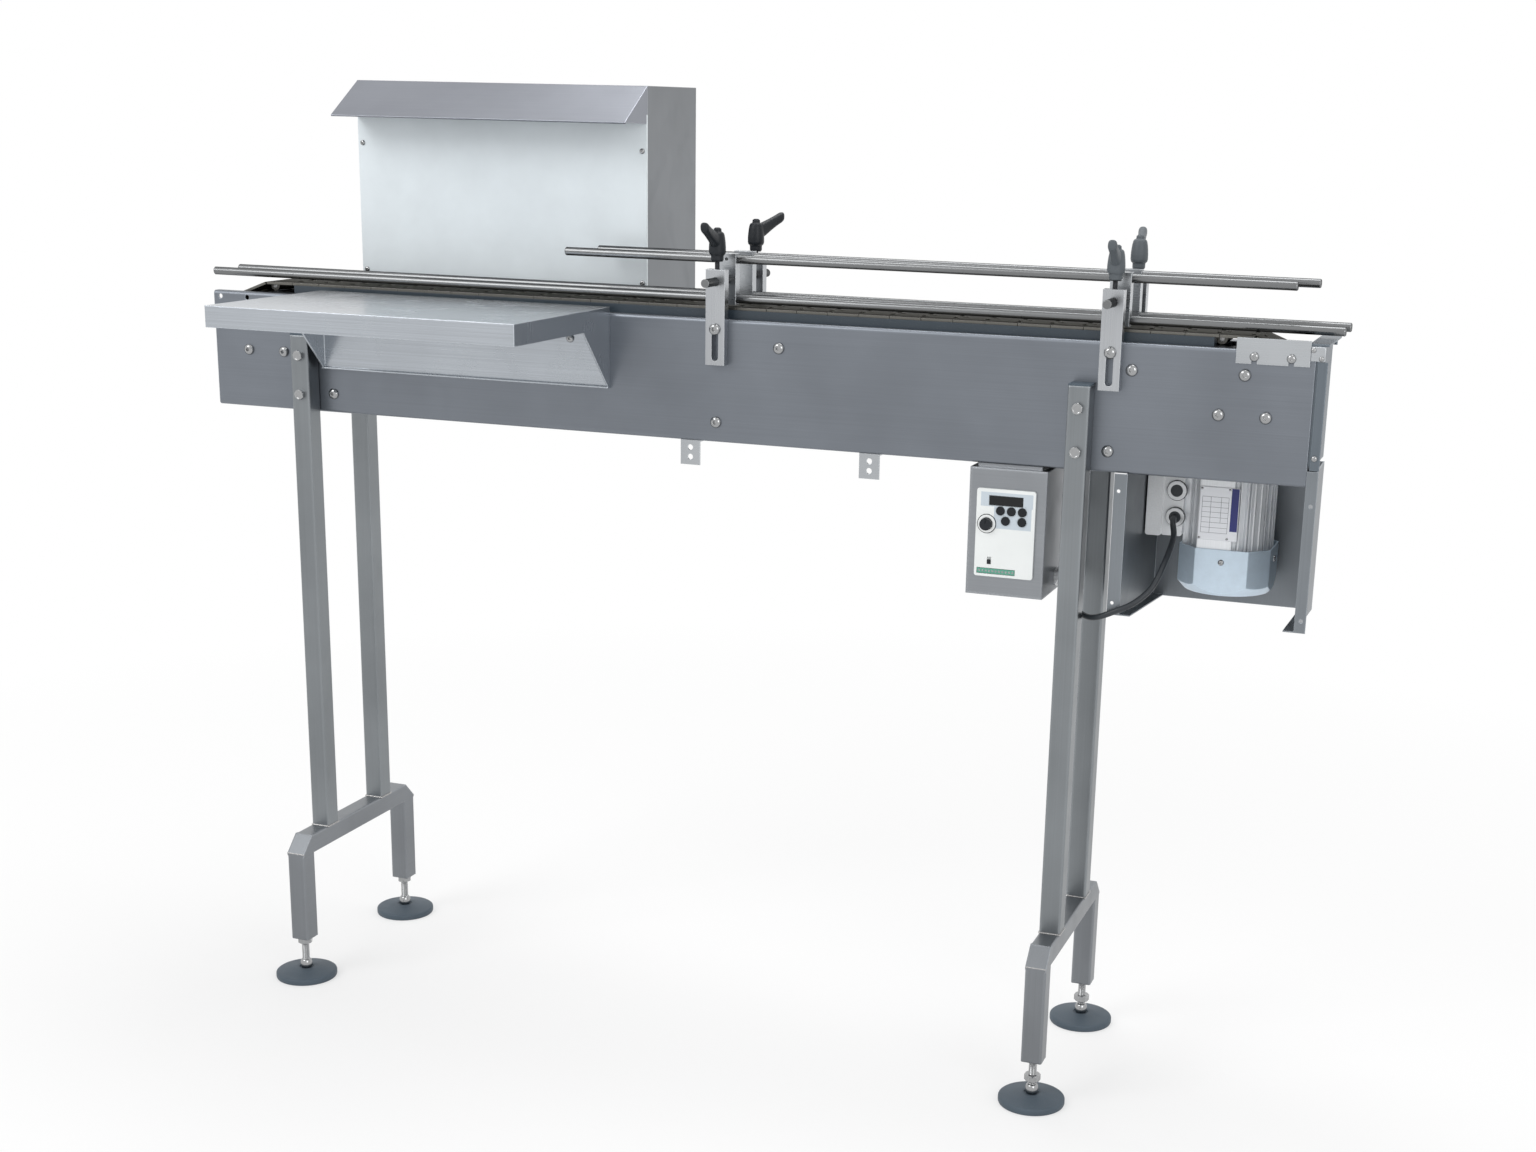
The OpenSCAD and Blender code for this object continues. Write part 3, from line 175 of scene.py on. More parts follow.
def newMaterial(name):
    material = bpy.data.materials.new(name)
    material.use_nodes = True
    tree = material.node_tree
    tree.nodes.clear()
    shader = tree.nodes.new("ShaderNodeBsdfPrincipled")
    out = tree.nodes.new("ShaderNodeOutputMaterial")
    tree.links.new(shader.outputs[0], out.inputs[0])
    return material, tree, shader


def metal(name, colour, rough, brushing, streaks=0.05, clouds=0.30, edgeHighlight=1.7, radius=0.0014, depth=0.00001,
          smudges=0.06, ripple=0.035, metallic=1.0, rim=1.0):
    # Brushed or polished metal, whose edges get a painted highlight: a paler base colour where the rounding is. rim is
    # the strength of the reflection at a glancing view
    material, tree, shader = newMaterial(name)
    grain = useGroup(tree, grainGroup, Stretch=brushing[0], Other=brushing[1], Axis=brushing[2])
    marks = useGroup(tree, markGroup)
    edges = useGroup(tree, edgeGroup, Radius=radius)
    base = mixColour(tree, spread(tree, grain.outputs["Streak"], 0, 1, 0.3, 0.7),
                     rgb(colour, 1 - streaks), rgb(colour, 1 + streaks))
    base = mixColour(tree, calc(tree, "MULTIPLY", spread(tree, grain.outputs["Cloud"], 0, 1, 0.35, 0.65), clouds, True),
                     base, rgb(colour, 0.6))
    # Painted highlight along the edges: the colour is raised there by the given gain
    base = mixColour(tree, calc(tree, "MULTIPLY", edges.outputs["Edge"], 0.8), base, rgb(colour, edgeHighlight))
    tree.links.new(base, shader.inputs["Base Color"])
    roughness = calc(tree, "ADD", spread(tree, grain.outputs["Streak"], rough - ripple, rough + ripple, 0.25, 0.75),
                     calc(tree, "MULTIPLY", marks.outputs["Smudge"], smudges))
    tree.links.new(roughness, shader.inputs["Roughness"])
    bump = put(tree, "ShaderNodeBump", {}, Strength=0.6, Distance=depth, Height=grain.outputs["Streak"],
               Normal=edges.outputs["Normal"])
    tree.links.new(bump.outputs[0], shader.inputs["Normal"])
    shader.inputs["Metallic"].default_value = metallic
    shader.inputs["Specular Tint"].default_value = (rim, rim, rim, 1.0)
    return material


def plastic(name, colour, rough, grainSize=1100.0, depth=0.00003, edgeHighlight=1.35, radius=0.0006, dust=0.10,
            dustColour=(0.55, 0.56, 0.57), coat=0.0, clouds=0.08, zone=None, shine=0.5):
    # Moulded plastic or paint with a fine grain and a little dust, and a painted highlight that makes its edges paler.
    # zone = (colour, [(low x, high x, low z, high z), ...]) tints fields of it
    material, tree, shader = newMaterial(name)
    marks = useGroup(tree, markGroup)
    edges = useGroup(tree, edgeGroup, Radius=radius)
    place = put(tree, "ShaderNodeTexCoord").outputs["Object"]
    skin = put(tree, "ShaderNodeTexNoise", {}, Vector=place, Scale=grainSize, Detail=3.0).outputs[0]
    cloud = put(tree, "ShaderNodeTexNoise", {}, Vector=place, Scale=22.0, Detail=3.0).outputs[0]
    base = mixColour(tree, spread(tree, cloud, 0, 1, 0.3, 0.7), rgb(colour, 1 - clouds), rgb(colour, 1 + clouds))
    for lowX, highX, lowZ, highZ in zone[1] if zone else []:
        parts = put(tree, "ShaderNodeSeparateXYZ", {}, Vector=place).outputs
        inside = calc(tree, "GREATER_THAN", parts[0], lowX)
        for operation, part, limit in (("LESS_THAN", 0, highX), ("GREATER_THAN", 2, lowZ), ("LESS_THAN", 2, highZ)):
            inside = calc(tree, "MULTIPLY", inside, calc(tree, operation, parts[part], limit))
        base = mixColour(tree, inside, base, rgb(zone[0]))
    base = mixColour(tree, calc(tree, "MULTIPLY", marks.outputs["Speck"], dust), base, rgb(dustColour))
    # Painted highlight along the edges: the colour is raised there by the given gain
    base = mixColour(tree, calc(tree, "MULTIPLY", edges.outputs["Edge"], 0.6), base, rgb(colour, edgeHighlight))
    tree.links.new(base, shader.inputs["Base Color"])
    tree.links.new(calc(tree, "ADD", spread(tree, skin, rough - 0.05, rough + 0.05),
                        calc(tree, "MULTIPLY", marks.outputs["Smudge"], 0.08)), shader.inputs["Roughness"])
    bump = put(tree, "ShaderNodeBump", {}, Strength=0.5, Distance=depth, Height=skin, Normal=edges.outputs["Normal"])
    tree.links.new(bump.outputs[0], shader.inputs["Normal"])
    shader.inputs["Coat Weight"].default_value = coat
    shader.inputs["Specular IOR Level"].default_value = shine
    return material


# Finishes

# Brushing: the stretch of the streaks, the stretch on faces across them, and their axis
alongX = ((4.0, 800.0, 800.0), (800.0, 800.0, 4.0), (1.0, 0.0, 0.0))
alongY = ((800.0, 4.0, 800.0), (800.0, 800.0, 4.0), (0.0, 1.0, 0.0))
alongZ = ((800.0, 800.0, 4.0), (4.0, 800.0, 800.0), (0.0, 0.0, 1.0))


def evenGrain(size):
    return ((size, size, size), (size, size, size), (0.0, 0.0, 1.0))


finishes = {
    "sidePlate": metal("sidePlateSteel", (0.207, 0.225, 0.252), 0.38, alongX, clouds=0.30, edgeHighlight=2.3,
                       radius=0.0020),
    "upright": metal("uprightSteel", (0.245, 0.262, 0.275), 0.36, alongZ, clouds=0.35, edgeHighlight=2.1, radius=0.0026),
    "standBase": metal("standBaseSteel", (0.231, 0.244, 0.260), 0.36, alongY, clouds=0.35, edgeHighlight=2.1,
                       radius=0.0026),
    "tray": metal("trayTopSteel", (0.45, 0.48, 0.515), 0.24, alongX, streaks=0.09, ripple=0.03, clouds=0.22,
                  edgeHighlight=1.6, radius=0.0018,
                  metallic=0.9),
    "lightBox": metal("lightBoxSteel", (0.228, 0.240, 0.254), 0.38, alongZ, clouds=0.35),
    "visor": metal("visorSteel", (0.275, 0.288, 0.322), 0.34, alongX),
    "guard": metal("guardSteel", (0.225, 0.245, 0.265), 0.40, alongZ, clouds=0.35, metallic=0.85, edgeHighlight=2.1),
    "endCover": metal("endCoverSteel", (0.160, 0.185, 0.210), 0.38, alongZ, radius=0.0018),
    "ctrlBox": metal("controlBoxSteel", (0.30, 0.315, 0.335), 0.34, alongX, radius=0.0035, metallic=0.9,
                     edgeHighlight=1.8),
    "bright": metal("brightSheetSteel", (0.47, 0.49, 0.51), 0.28, alongX, streaks=0.03, edgeHighlight=1.6, radius=0.001),
    "polished": metal("polishedRodSteel", (0.205, 0.210, 0.214), 0.24, alongX, streaks=0.02, ripple=0.01,
                      clouds=0.10, smudges=0.02, rim=0.25),
    "post": metal("postBarSteel", (0.46, 0.475, 0.495), 0.27, alongZ, ripple=0.03, edgeHighlight=1.6, radius=0.0010),
    "bolt": metal("boltSteel", (0.36, 0.365, 0.37), 0.12, evenGrain(300.0), clouds=0.10, radius=0.0003,
                  edgeHighlight=2.2),
    "slat": metal("slatSteel", (0.160, 0.156, 0.143), 0.38, alongY, streaks=0.08, edgeHighlight=2.1, radius=0.0005,
                  rim=0.25),
    "pin": metal("hingePinSteel", (0.34, 0.34, 0.34), 0.25, alongY),
    "strip": plastic("wearStripPlastic", (0.028, 0.042, 0.056), 0.38, edgeHighlight=1.8),
    "sprocket": plastic("sprocketPlastic", (0.06, 0.065, 0.07), 0.42),
    "cast": metal("castAluminium", (0.86, 0.88, 0.90), 0.40, evenGrain(700.0), depth=0.00005, metallic=0.12,
                  edgeHighlight=1.2, clouds=0.12),
    "gearCast": metal("gearboxAluminium", (0.50, 0.515, 0.53), 0.42, evenGrain(700.0), depth=0.00005,
                      metallic=0.4, edgeHighlight=1.3,
                      clouds=0.15),
    "fin": metal("motorFinAluminium", (0.90, 0.925, 0.955), 0.34, alongZ, depth=0.00001, metallic=0.25,
                 edgeHighlight=1.1, clouds=0.12),
    "cowl": metal("cowlZincSheet", (0.61, 0.725, 0.83), 0.36, evenGrain(90.0), clouds=0.20, edgeHighlight=1.3,
                  metallic=0.35, radius=0.002),
    "gland": metal("glandNickel", (0.60, 0.615, 0.63), 0.24, evenGrain(400.0), clouds=0.1, metallic=0.5,
                   edgeHighlight=1.4),
    "blackSteel": metal("blackenedSteel", (0.030, 0.031, 0.034), 0.32, evenGrain(500.0), clouds=0.1),
    "black": plastic("blackLeverPlastic", (0.010, 0.013, 0.017), 0.40, edgeHighlight=3.0, dust=0.02, shine=0.3),
    "leverGrey": plastic("greyLeverPlastic", (0.098, 0.112, 0.124), 0.44, edgeHighlight=1.7, dust=0.06, shine=0.3),
    "rubber": plastic("cableJacket", (0.026, 0.031, 0.037), 0.36, dust=0.05, shine=0.4),
    "slate": plastic("footPadPlastic", (0.074, 0.098, 0.122), 0.50, edgeHighlight=1.9, radius=0.0014, dust=0.06,
                     shine=0.3),
    "controller": plastic("controllerCasing", (0.80, 0.825, 0.82), 0.40, edgeHighlight=1.1, dust=0.03, clouds=0.03,
                          zone=((0.54, 0.605, 0.66),
                                [(0.3279, 0.3899, 0.7029, 0.7195), (0.3440, 0.3885, 0.6775, 0.7030)])),
    "key": plastic("keyPlastic", (0.010, 0.012, 0.015), 0.30, edgeHighlight=5.0, dust=0.03, shine=0.25),
    "display": plastic("displayWindow", (0.008, 0.009, 0.010), 0.12, dust=0.02, shine=0.3),
    "terminalGreen": plastic("terminalBlock", (0.10, 0.33, 0.24), 0.42, dust=0.06),
    "screen": plastic("screenSheet", (0.82, 0.885, 0.92), 0.34, grainSize=600.0, edgeHighlight=1.05, dust=0.02,
                      clouds=0.03, coat=0.2),
    "lamp": plastic("lampGlass", (0.86, 0.87, 0.86), 0.2, dust=0.02, clouds=0.02),
    "whitePlastic": plastic("whiteRing", (0.80, 0.82, 0.82), 0.4, dust=0.03),
    "plateSilver": metal("ratingPlateFoil", (0.80, 0.82, 0.86), 0.34, alongX, streaks=0.02, clouds=0.1,
                         metallic=0.3, edgeHighlight=1.1),
    "plateInk": plastic("ratingPlateInk", (0.26, 0.27, 0.30), 0.4, dust=0.02),
    "plateBlue": plastic("ratingPlateBand", (0.020, 0.026, 0.17), 0.35, dust=0.02),
    "weld": metal("weldBead", (0.36, 0.355, 0.35), 0.28, evenGrain(500.0), streaks=0.2, depth=0.0001),
}

nodeFinish = {
    "near_plate": "sidePlate", "far_plate": "sidePlate", "cross_spacers": "polished", "frame_bolts": "bolt",
    "guide_strips": "strip", "chain_carry": "slat", "chain_return": "slat", "chain_drive_wrap": "slat",
    "chain_tail_wrap": "slat", "chain_pins": "pin", "drive_shaft": "polished", "drive_sprocket": "sprocket",
    "tail_shaft": "polished", "tail_sprocket": "sprocket", "bearings": "gearCast", "gearbox_housing": "gearCast",
    "motor_body": "fin", "terminal_box": "cast", "cable_glands": "gland", "motor_cable": "rubber",
    "fan_cowl": "cowl", "motor_rotor": "pin", "motor_guard": "guard", "end_cover": "endCover",
    "small_brackets": "bright", "uprights": "upright", "upright_caps": "slate", "stand_bases": "standBase",
    "stand_fasteners": "bolt", "foot_near_left": "slate", "foot_near_right": "slate", "foot_far_left": "slate",
    "foot_far_right": "slate", "tray": "tray", "light_housing": "lightBox", "light_visor": "visor",
    "diffuser": "screen", "lamps": "lamp", "light_bracket": "bright", "near_posts": "post", "far_posts": "post",
    "near_blocks": "bright", "far_blocks": "bright", "near_rails": "polished", "far_rails": "polished",
    "near_left_lever": "black", "near_right_lever": "black", "far_left_lever": "black", "far_right_lever": "black",
    "control_box": "ctrlBox", "inverter_face": "controller", "speed_knob": "black", "button_run": "key",
    "button_up": "key", "button_down": "key", "button_mode": "key", "button_stop": "key", "slide_switch": "black",
}

for nodeName, finishName in nodeFinish.items():
    for materialSlot in nodes[nodeName].material_slots:
        materialSlot.material = finishes[finishName]
print("finishes set:", len(finishes))


# Mesh helpers

def ringAt(radius, height, count, sides=0, lobes=0.0):
    # Points of a circle, or of a hexagon where sides is 6, or of a cross recess where lobes is above 0
    points = []
    for k in range(count):
        angle = 2 * math.pi * k / count
        reach = radius
        if sides:
            part = math.pi / sides
            reach = radius * math.cos(part) / math.cos((angle % (2 * part)) - part)
        if lobes:
            reach = radius * (1 + lobes * math.cos(4 * angle)) / (1 + lobes)
        points.append(Vector((reach * math.cos(angle), reach * math.sin(angle), height)))
    return points


class Shape:
    # Collects the points and faces of one piece

    def __init__(self):
        self.points = []
        self.faces = []

    def loft(self, rings, closed=False):
        start = len(self.points)
        count = len(rings[0])
        for ring in rings:
            self.points.extend(ring)
        steps = len(rings) if closed else len(rings) - 1
        for i in range(steps):
            a, b = start + i * count, start + ((i + 1) % len(rings)) * count
            for j in range(count):
                k = (j + 1) % count
                self.faces.append((a + j, a + k, b + k, b + j))
        if not closed:
            self.faces.append([start + j for j in reversed(range(count))])
            last = start + (len(rings) - 1) * count
            self.faces.append([last + j for j in range(count)])

    def lathe(self, profile, turn, count=32):
        # profile holds (radius, height) in millimetres; a third value gives the sides or lobes of that ring
        rings = []
        for step in profile:
            kind = step[2] if len(step) > 2 else None
            ring = ringAt(step[0], step[1], count, 6 if kind == "hex" else 0, 0.45 if kind == "cross" else 0.0)
            rings.append([turn @ (p / 1000) for p in ring])
        self.loft(rings)

    def block(self, low, high):
        a, b = at(*low), at(*high)
        corners = [Vector((x, y, z)) for z in (a.z, b.z) for x, y in ((a.x, a.y), (b.x, a.y), (b.x, b.y), (a.x, b.y))]
        self.loft([corners[:4], corners[4:]])

    def tube(self, path, radius, count=12, closed=False, wobble=None):
        rings = []
        total = len(path)
        for i, point in enumerate(path):
            before = path[(i - 1) % total] if closed or i else path[0]
            after = path[(i + 1) % total] if closed or i < total - 1 else path[-1]
            along = (after - before).normalized()
            side = along.cross(Vector((0.31, 0.2, 1.0))).normalized()
            up = along.cross(side)
            size = radius / 1000 * (wobble(i) if wobble else 1.0)
            rings.append([point + size * (math.cos(a) * side + math.sin(a) * up)
                          for a in (2 * math.pi * j / count for j in range(count))])
        self.loft(rings, closed=closed)

    def make(self, name, finish, body=frameBody, slot=None, bevel=0.0, blend=0.0):
        mesh = bpy.data.meshes.new(name)
        mesh.from_pydata([p[:] for p in self.points], [], self.faces)
        work = bmesh.new()
        work.from_mesh(mesh)
        bmesh.ops.recalc_face_normals(work, faces=work.faces)
        work.to_mesh(mesh)
        work.free()
        mesh.materials.append(finishes[finish])
        piece = bpy.data.objects.new(name, mesh)
        bpy.context.scene.collection.objects.link(piece)
        if bevel:
            rounding = piece.modifiers.new("rounding", "BEVEL")
            rounding.width, rounding.segments, rounding.limit_method = bevel / 1000, 2, "ANGLE"
            rounding.angle_limit = math.radians(35)
        if blend:
            # Runs the closed forms into one moulded skin
            remesh = piece.modifiers.new("remesh", "REMESH")
            remesh.mode, remesh.voxel_size = "VOXEL", blend / 1000
            relax = piece.modifiers.new("relax", "SMOOTH")
            relax.factor, relax.iterations = 0.5, 5
            mesh = bpy.data.meshes.new_from_object(piece.evaluated_get(bpy.context.evaluated_depsgraph_get()))
            piece.modifiers.clear()
            piece.data = mesh
            for polygon in mesh.polygons:
                polygon.use_smooth = True
        else:
            mesh.shade_smooth()
            mesh.set_sharp_from_angle(angle=math.radians(38))
        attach(piece, body)
        return piece


# Turns that stand a lathe on a face: its height then points towards the named side
facings = {"near": Matrix.Rotation(math.radians(90), 4, "X"), "far": Matrix.Rotation(math.radians(-90), 4, "X"),
           "up": Matrix.Identity(4),
           "right": Matrix.Rotation(math.radians(90), 4, "Y"), "left": Matrix.Rotation(math.radians(-90), 4, "Y")}


def stand(x, y, z, facing, spin=0.0):
    return Matrix.Translation(at(x, y, z)) @ facings[facing] @ Matrix.Rotation(math.radians(spin), 4, "Z")


def domeHead(d):
    return [(0.875 * d, 0), (0.875 * d, 0.10 * d), (0.82 * d, 0.26 * d), (0.68 * d, 0.42 * d), (0.50 * d, 0.52 * d),
            (0.40 * d, 0.55 * d), (0.33 * d, 0.55 * d, "hex"), (0.31 * d, 0.18 * d, "hex")]


def hexHead(d):
    return [(0.92 * d, 0, "hex"), (0.925 * d, 0.03 * d, "hex"), (0.925 * d, 0.52 * d, "hex"), (0.80 * d, 0.62 * d),
            (0.62 * d, 0.65 * d), (0.56 * d, 0.61 * d)]


def crossHead(d):
    return [(d, 0), (d, 0.15 * d), (0.9 * d, 0.40 * d), (0.7 * d, 0.55 * d), (0.55 * d, 0.60 * d, "cross"),
            (0.45 * d, 0.2 * d, "cross")]


def nutRing(flats, h, bore):
    reach = flats / 2 / math.cos(math.radians(30))
    return [(bore, 0), (reach * 0.90, 0), (reach, 0.07 * h, "hex"), (reach, 0.93 * h, "hex"), (reach * 0.90, h),
            (bore, h)]


# Motor cable

cable = {"motorGland": (1237.775, 55.5, 688.07), "boxGland": (1108.775, 8.0, 613.9), "diameter": 7.0,
         "fromMotor": [(0, 3.5, 0), (0, -9, 0), (2, -25, -4), (8, -50, -17), (5, -80, -40), (-4, -100, -66),
                       (-21, -113, -83)],
         "toBox": [(88, -71, -19), (71, -69, -27), (57, -62, -31), (43, -52, -29), (29, -38, -21), (19, -17, -9),
                   (13, -3, -1.5), (8, 0, 0), (2, 0, 0)], "steps": 6}


def smoothRoute(points, steps):
    route = []
    last = len(points) - 1
    for i in range(last * steps + 1):
        k, t = min(i // steps, last - 1), i / steps - min(i // steps, last - 1)
        a, b, c, d = (points[max(0, min(last, k + j))] for j in (-1, 0, 1, 2))
        bend, twist = 2 * a - 5 * b + 4 * c - d, 3 * b - a - 3 * c + d
        route.append(0.5 * (2 * b + (c - a) * t + bend * t ** 2 + twist * t ** 3))
    return route


def addCable():
    corners = [at(*[p + q for p, q in zip(cable["motorGland"], d)]) for d in cable["fromMotor"]]
    corners += [at(*[p + q for p, q in zip(cable["boxGland"], d)]) for d in cable["toBox"]]
    route = smoothRoute(corners, cable["steps"])
    shape = Shape()
    shape.tube(route, cable["diameter"] / 2, 20)
    piece = shape.make("motorCable", "rubber", slot="cable_rubber")
    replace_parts(piece, "motor_cable")


addCable()


# Frame bolts

plate = {"half": 55.0, "sheet": 2.0, "axisZ": 840.07, "tailX": 75.0, "driveX": 1322.775, "lowerZ": 775.9,
         "upperZ": 867.9, "bearingR": 30.0}
spacerX = [358.0, (358.0 + 1197.775) / 2, 1197.775]
returnX = [172.0, 698.8875, 1175.775]
postX = [701.775, 1174.775]
standX = [139.0, 1144.775]
footY = 128.5

# Small bolts come as rows: places along x, heights, face, side, and turn of the head
frameBolt = {"size": 8.0, "spacerDepth": 20.0, "returnDepth": 9.0, "bearingDepth": 10.0,
             "bearingAngles": (90, 210, 330), "postZ": 887.1, "postOut": 12.6, "postDepth": 20.6,
             "nut": (13.0, 5.0, 3.9), "play": 0.06, "small": 6.0,
             "trayRow": ((212.0, 508.0), (865.0,), -57.0, "near", 12),
             "joiningRow": ((1331.775, 1371.775), (890.9,), -57.5, "near", 20),
             "lightBoxRow": ((234.0, 479.0), (830.0, 855.0), 58.0, "far", 30)}


def addFrameBolts():
    heads, shanks = Shape(), Shape()
    size = frameBolt["size"]
    spots = [(x, plate["upperZ"], 0, frameBolt["spacerDepth"]) for x in spacerX]
    spots += [(x, plate["lowerZ"], 0, frameBolt["returnDepth"]) for x in returnX]
    for x in (plate["tailX"], plate["driveX"]):
        for degrees in frameBolt["bearingAngles"]:
            angle = math.radians(degrees)
            spots += [(x + plate["bearingR"] * math.cos(angle), plate["axisZ"] + plate["bearingR"] * math.sin(angle), 0,
                       frameBolt["bearingDepth"])]
    spots += [(x, frameBolt["postZ"], frameBolt["postOut"], frameBolt["postDepth"]) for x in postX]
    for index, (x, z, out, depth) in enumerate(spots):
        for sign, facing in ((-1, "near"), (1, "far")):
            y = sign * (plate["half"] + out)
            heads.lathe(domeHead(size), stand(x, y, z, facing, 37 * index), 36)
            radius = size / 2 - frameBolt["play"]
            shanks.lathe([(radius, 0.2), (radius, -depth + 0.6), (size / 2 - 0.6, -depth)], stand(x, y, z, facing), 24)
            if out:
                inner = sign * (plate["half"] - plate["sheet"])
                heads.lathe(nutRing(*frameBolt["nut"]), stand(x, inner, z, "far" if sign < 0 else "near", 10), 36)
    for row in ("trayRow", "joiningRow", "lightBoxRow"):
        places, heights, face, facing, spin = frameBolt[row]
        for x in places:
            for z in heights:
                heads.lathe(domeHead(frameBolt["small"]), stand(x, face, z, facing, spin), 36)
    piece = heads.make("frameBoltHeads", "bolt", slot="bright_steel")
    shank = shanks.make("frameBoltShanks", "pin", slot="bright_steel")
    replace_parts(piece, "frame_bolts")
    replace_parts(shank, "frame_bolts")


addFrameBolts()


standBolt = {"size": 7.6, "out": 25.4, "heights": (824.9, 775.9), "radius": 3.9, "depth": 34.0, "nut": (13.0, 6.0, 3.9),
             "nutY": 53.0, "footNut": (17.0, 8.0, 5.2), "footNutZ": 48.0}


def addStandBolts():
    shape = Shape()
    for x in standX:
        for sign, facing in ((-1, "near"), (1, "far")):
            face = sign * (plate["half"] + standBolt["out"])
            for z in standBolt["heights"]:
                shape.lathe(hexHead(standBolt["size"]), stand(x, face, z, facing, 14 + x), 36)
                shape.lathe([(standBolt["radius"], 0.5), (standBolt["radius"], -standBolt["depth"])],
                            stand(x, face, z, facing), 24)
            inward = "far" if sign < 0 else "near"
            shape.lathe(nutRing(*standBolt["nut"]),
                        stand(x, sign * standBolt["nutY"], standBolt["heights"][0], inward, 10), 36)
            if x == standX[0]:
                # Lock nuts of the left feet sit at the legs
                shape.lathe(nutRing(*standBolt["footNut"]),
                            stand(x, sign * footY, standBolt["footNutZ"], "up", 8 * sign), 36)
    piece = shape.make("standBoltSet", "bolt", slot="bright_steel")
    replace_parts(piece, "stand_fasteners")


addStandBolts()
print("bolts made")


# Levelling feet

foot = {"padRadius": 40.0, "spindle": 5.0, "pitch": 1.5, "depth": 0.6, "bottom": 24.0, "top": 106.0,
        "nut": (17.0, 8.0, 4.5), "nutZ": 29.0,
        "ball": [(5.0, 12.2), (7.0, 12.8), (7.9, 15.2), (8.0, 17.0), (7.7, 19.5), (6.8, 22.8), (5.6, 24.3),
                 (4.6, 24.6)]}


def threadTube(shape, turn, radius, low, high, pitch, depth, perTurn=20):
    # A spindle whose surface rises and falls along a helix
    rings = []
    steps = int((high - low) / pitch * 6)
    for i in range(steps + 1):
        height = low + (high - low) * i / steps
        ring = []
        for j in range(perTurn):
            phase = (height / pitch + j / perTurn) % 1.0
            reach = radius - depth * abs(2 * phase - 1)
            angle = 2 * math.pi * j / perTurn
            ring.append(turn @ (Vector((reach * math.cos(angle), reach * math.sin(angle), height)) / 1000))
        rings.append(ring)
    shape.loft(rings)


def addFoot(name, x, y, withNut):
    r = foot["padRadius"]
    body = name + "_body"
    turn = stand(x, y, 0, "up")
    pad, spindle = Shape(), Shape()
    pad.lathe([(0.5, 0.8), (r - 9, 0.8), (r - 8, 0.0), (r - 2, 0.0), (r - 0.6, 0.6), (r, 2.0), (r, 6.4), (r - 0.4, 7.6),
               (r - 1.4, 8.4), (r - 4, 8.9), (26, 10.7), (16, 12.5), (10.6, 13.3), (9.4, 13.1), (8.6, 11.6),
               (5.0, 11.6)], turn, 72)
    spindle.lathe(foot["ball"], turn, 36)
    threadTube(spindle, turn, foot["spindle"], foot["bottom"], foot["top"], foot["pitch"], foot["depth"])
    if withNut:
        spindle.lathe(nutRing(*foot["nut"]), stand(x, y, foot["nutZ"], "up", 17), 36)
    padPiece = pad.make(name + "Pad", "slate", body, "foot_plastic")
    spindlePiece = spindle.make(name + "Spindle", "bolt", body, "bright_steel")
    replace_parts(padPiece, name)
    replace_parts(spindlePiece, name)


addFoot("foot_near_left", standX[0], -footY, False)
addFoot("foot_far_left", standX[0], footY, False)
addFoot("foot_near_right", standX[1], -footY, True)
addFoot("foot_far_right", standX[1], footY, True)


# Welds on the stands

weld = {"radius": 1.1, "seamRadius": 0.7, "step": 1.0, "beamTop": 198.0, "tube": 25.4,
        "uprightY": 67.7, "legFace": 141.0, "mitre": 176.9}


def addWelds():
    shape = Shape()
    half = weld["tube"] / 2
    for x in standX:
        for y in (-weld["uprightY"], weld["uprightY"]):
            corners = [(-half, -half), (half, -half), (half, half), (-half, half)]
            path = []
            for (ax, ay), (bx, by) in zip(corners, corners[1:] + corners[:1]):
                count = int(weld["tube"] / weld["step"])
                path += [at(x + ax + (bx - ax) * k / count, y + ay + (by - ay) * k / count, weld["beamTop"])
                         for k in range(count)]
            # Bead round the foot of the upright
            shape.tube(path, weld["radius"], 8, True, lambda i: 0.85 + 0.3 * abs(math.sin(i * 1.9)))
        for side in (-1, 1):
            # Ground seam across the lower edge of the mitre
            seam = [at(x + half * k / 12, side * weld["legFace"], weld["mitre"]) for k in range(-12, 13)]
            shape.tube(seam, weld["seamRadius"], 8)
    shape.make("weldBeads", "weld", slot="stainless")


addWelds()


# Clamp levers

# arm holds (distance from the hub, height, half width, half thickness); pins the node, place, angle, step up and finish
lever = {"base": 965.9, "postTop": 955.9, "rise": 5.0, "top": 37.0, "skin": 0.55,
         "hub": [(2.5, 0.0), (6.8, 0.0), (7.4, 0.6), (7.4, 6.0), (9.3, 7.6), (10.0, 10.0), (10.0, 15.5), (9.6, 21.0),
                 (8.9, 26.5), (8.0, 30.6), (6.9, 32.3), (5.0, 33.0), (4.7, 33.6), (4.6, 36.5), (4.0, 37.0),
                 (2.5, 37.0)],
         "arm": [(0, 22, 5.6, 8.0), (8, 24.0, 5.8, 9.0), (13, 26.2, 5.4, 8.6), (20, 29.8, 4.9, 7.6),
                 (28, 33.9, 4.7, 6.7), (34, 36.9, 5.0, 6.3), (38, 38.8, 5.2, 6.1), (40.4, 39.8, 4.6, 5.3),
                 (41.6, 40.3, 3.1, 3.6), (42, 40.4, 1.0, 1.2)],
         "pins": [("near_left_lever", postX[0], -61.3, -90, 0, "black"),
                  ("near_right_lever", postX[1], -61.3, -86, 0, "leverGrey"),
                  ("far_left_lever", postX[0], 61.3, 60, 1, "black"),
                  ("far_right_lever", postX[1], 61.3, 98, 1, "leverGrey")]}


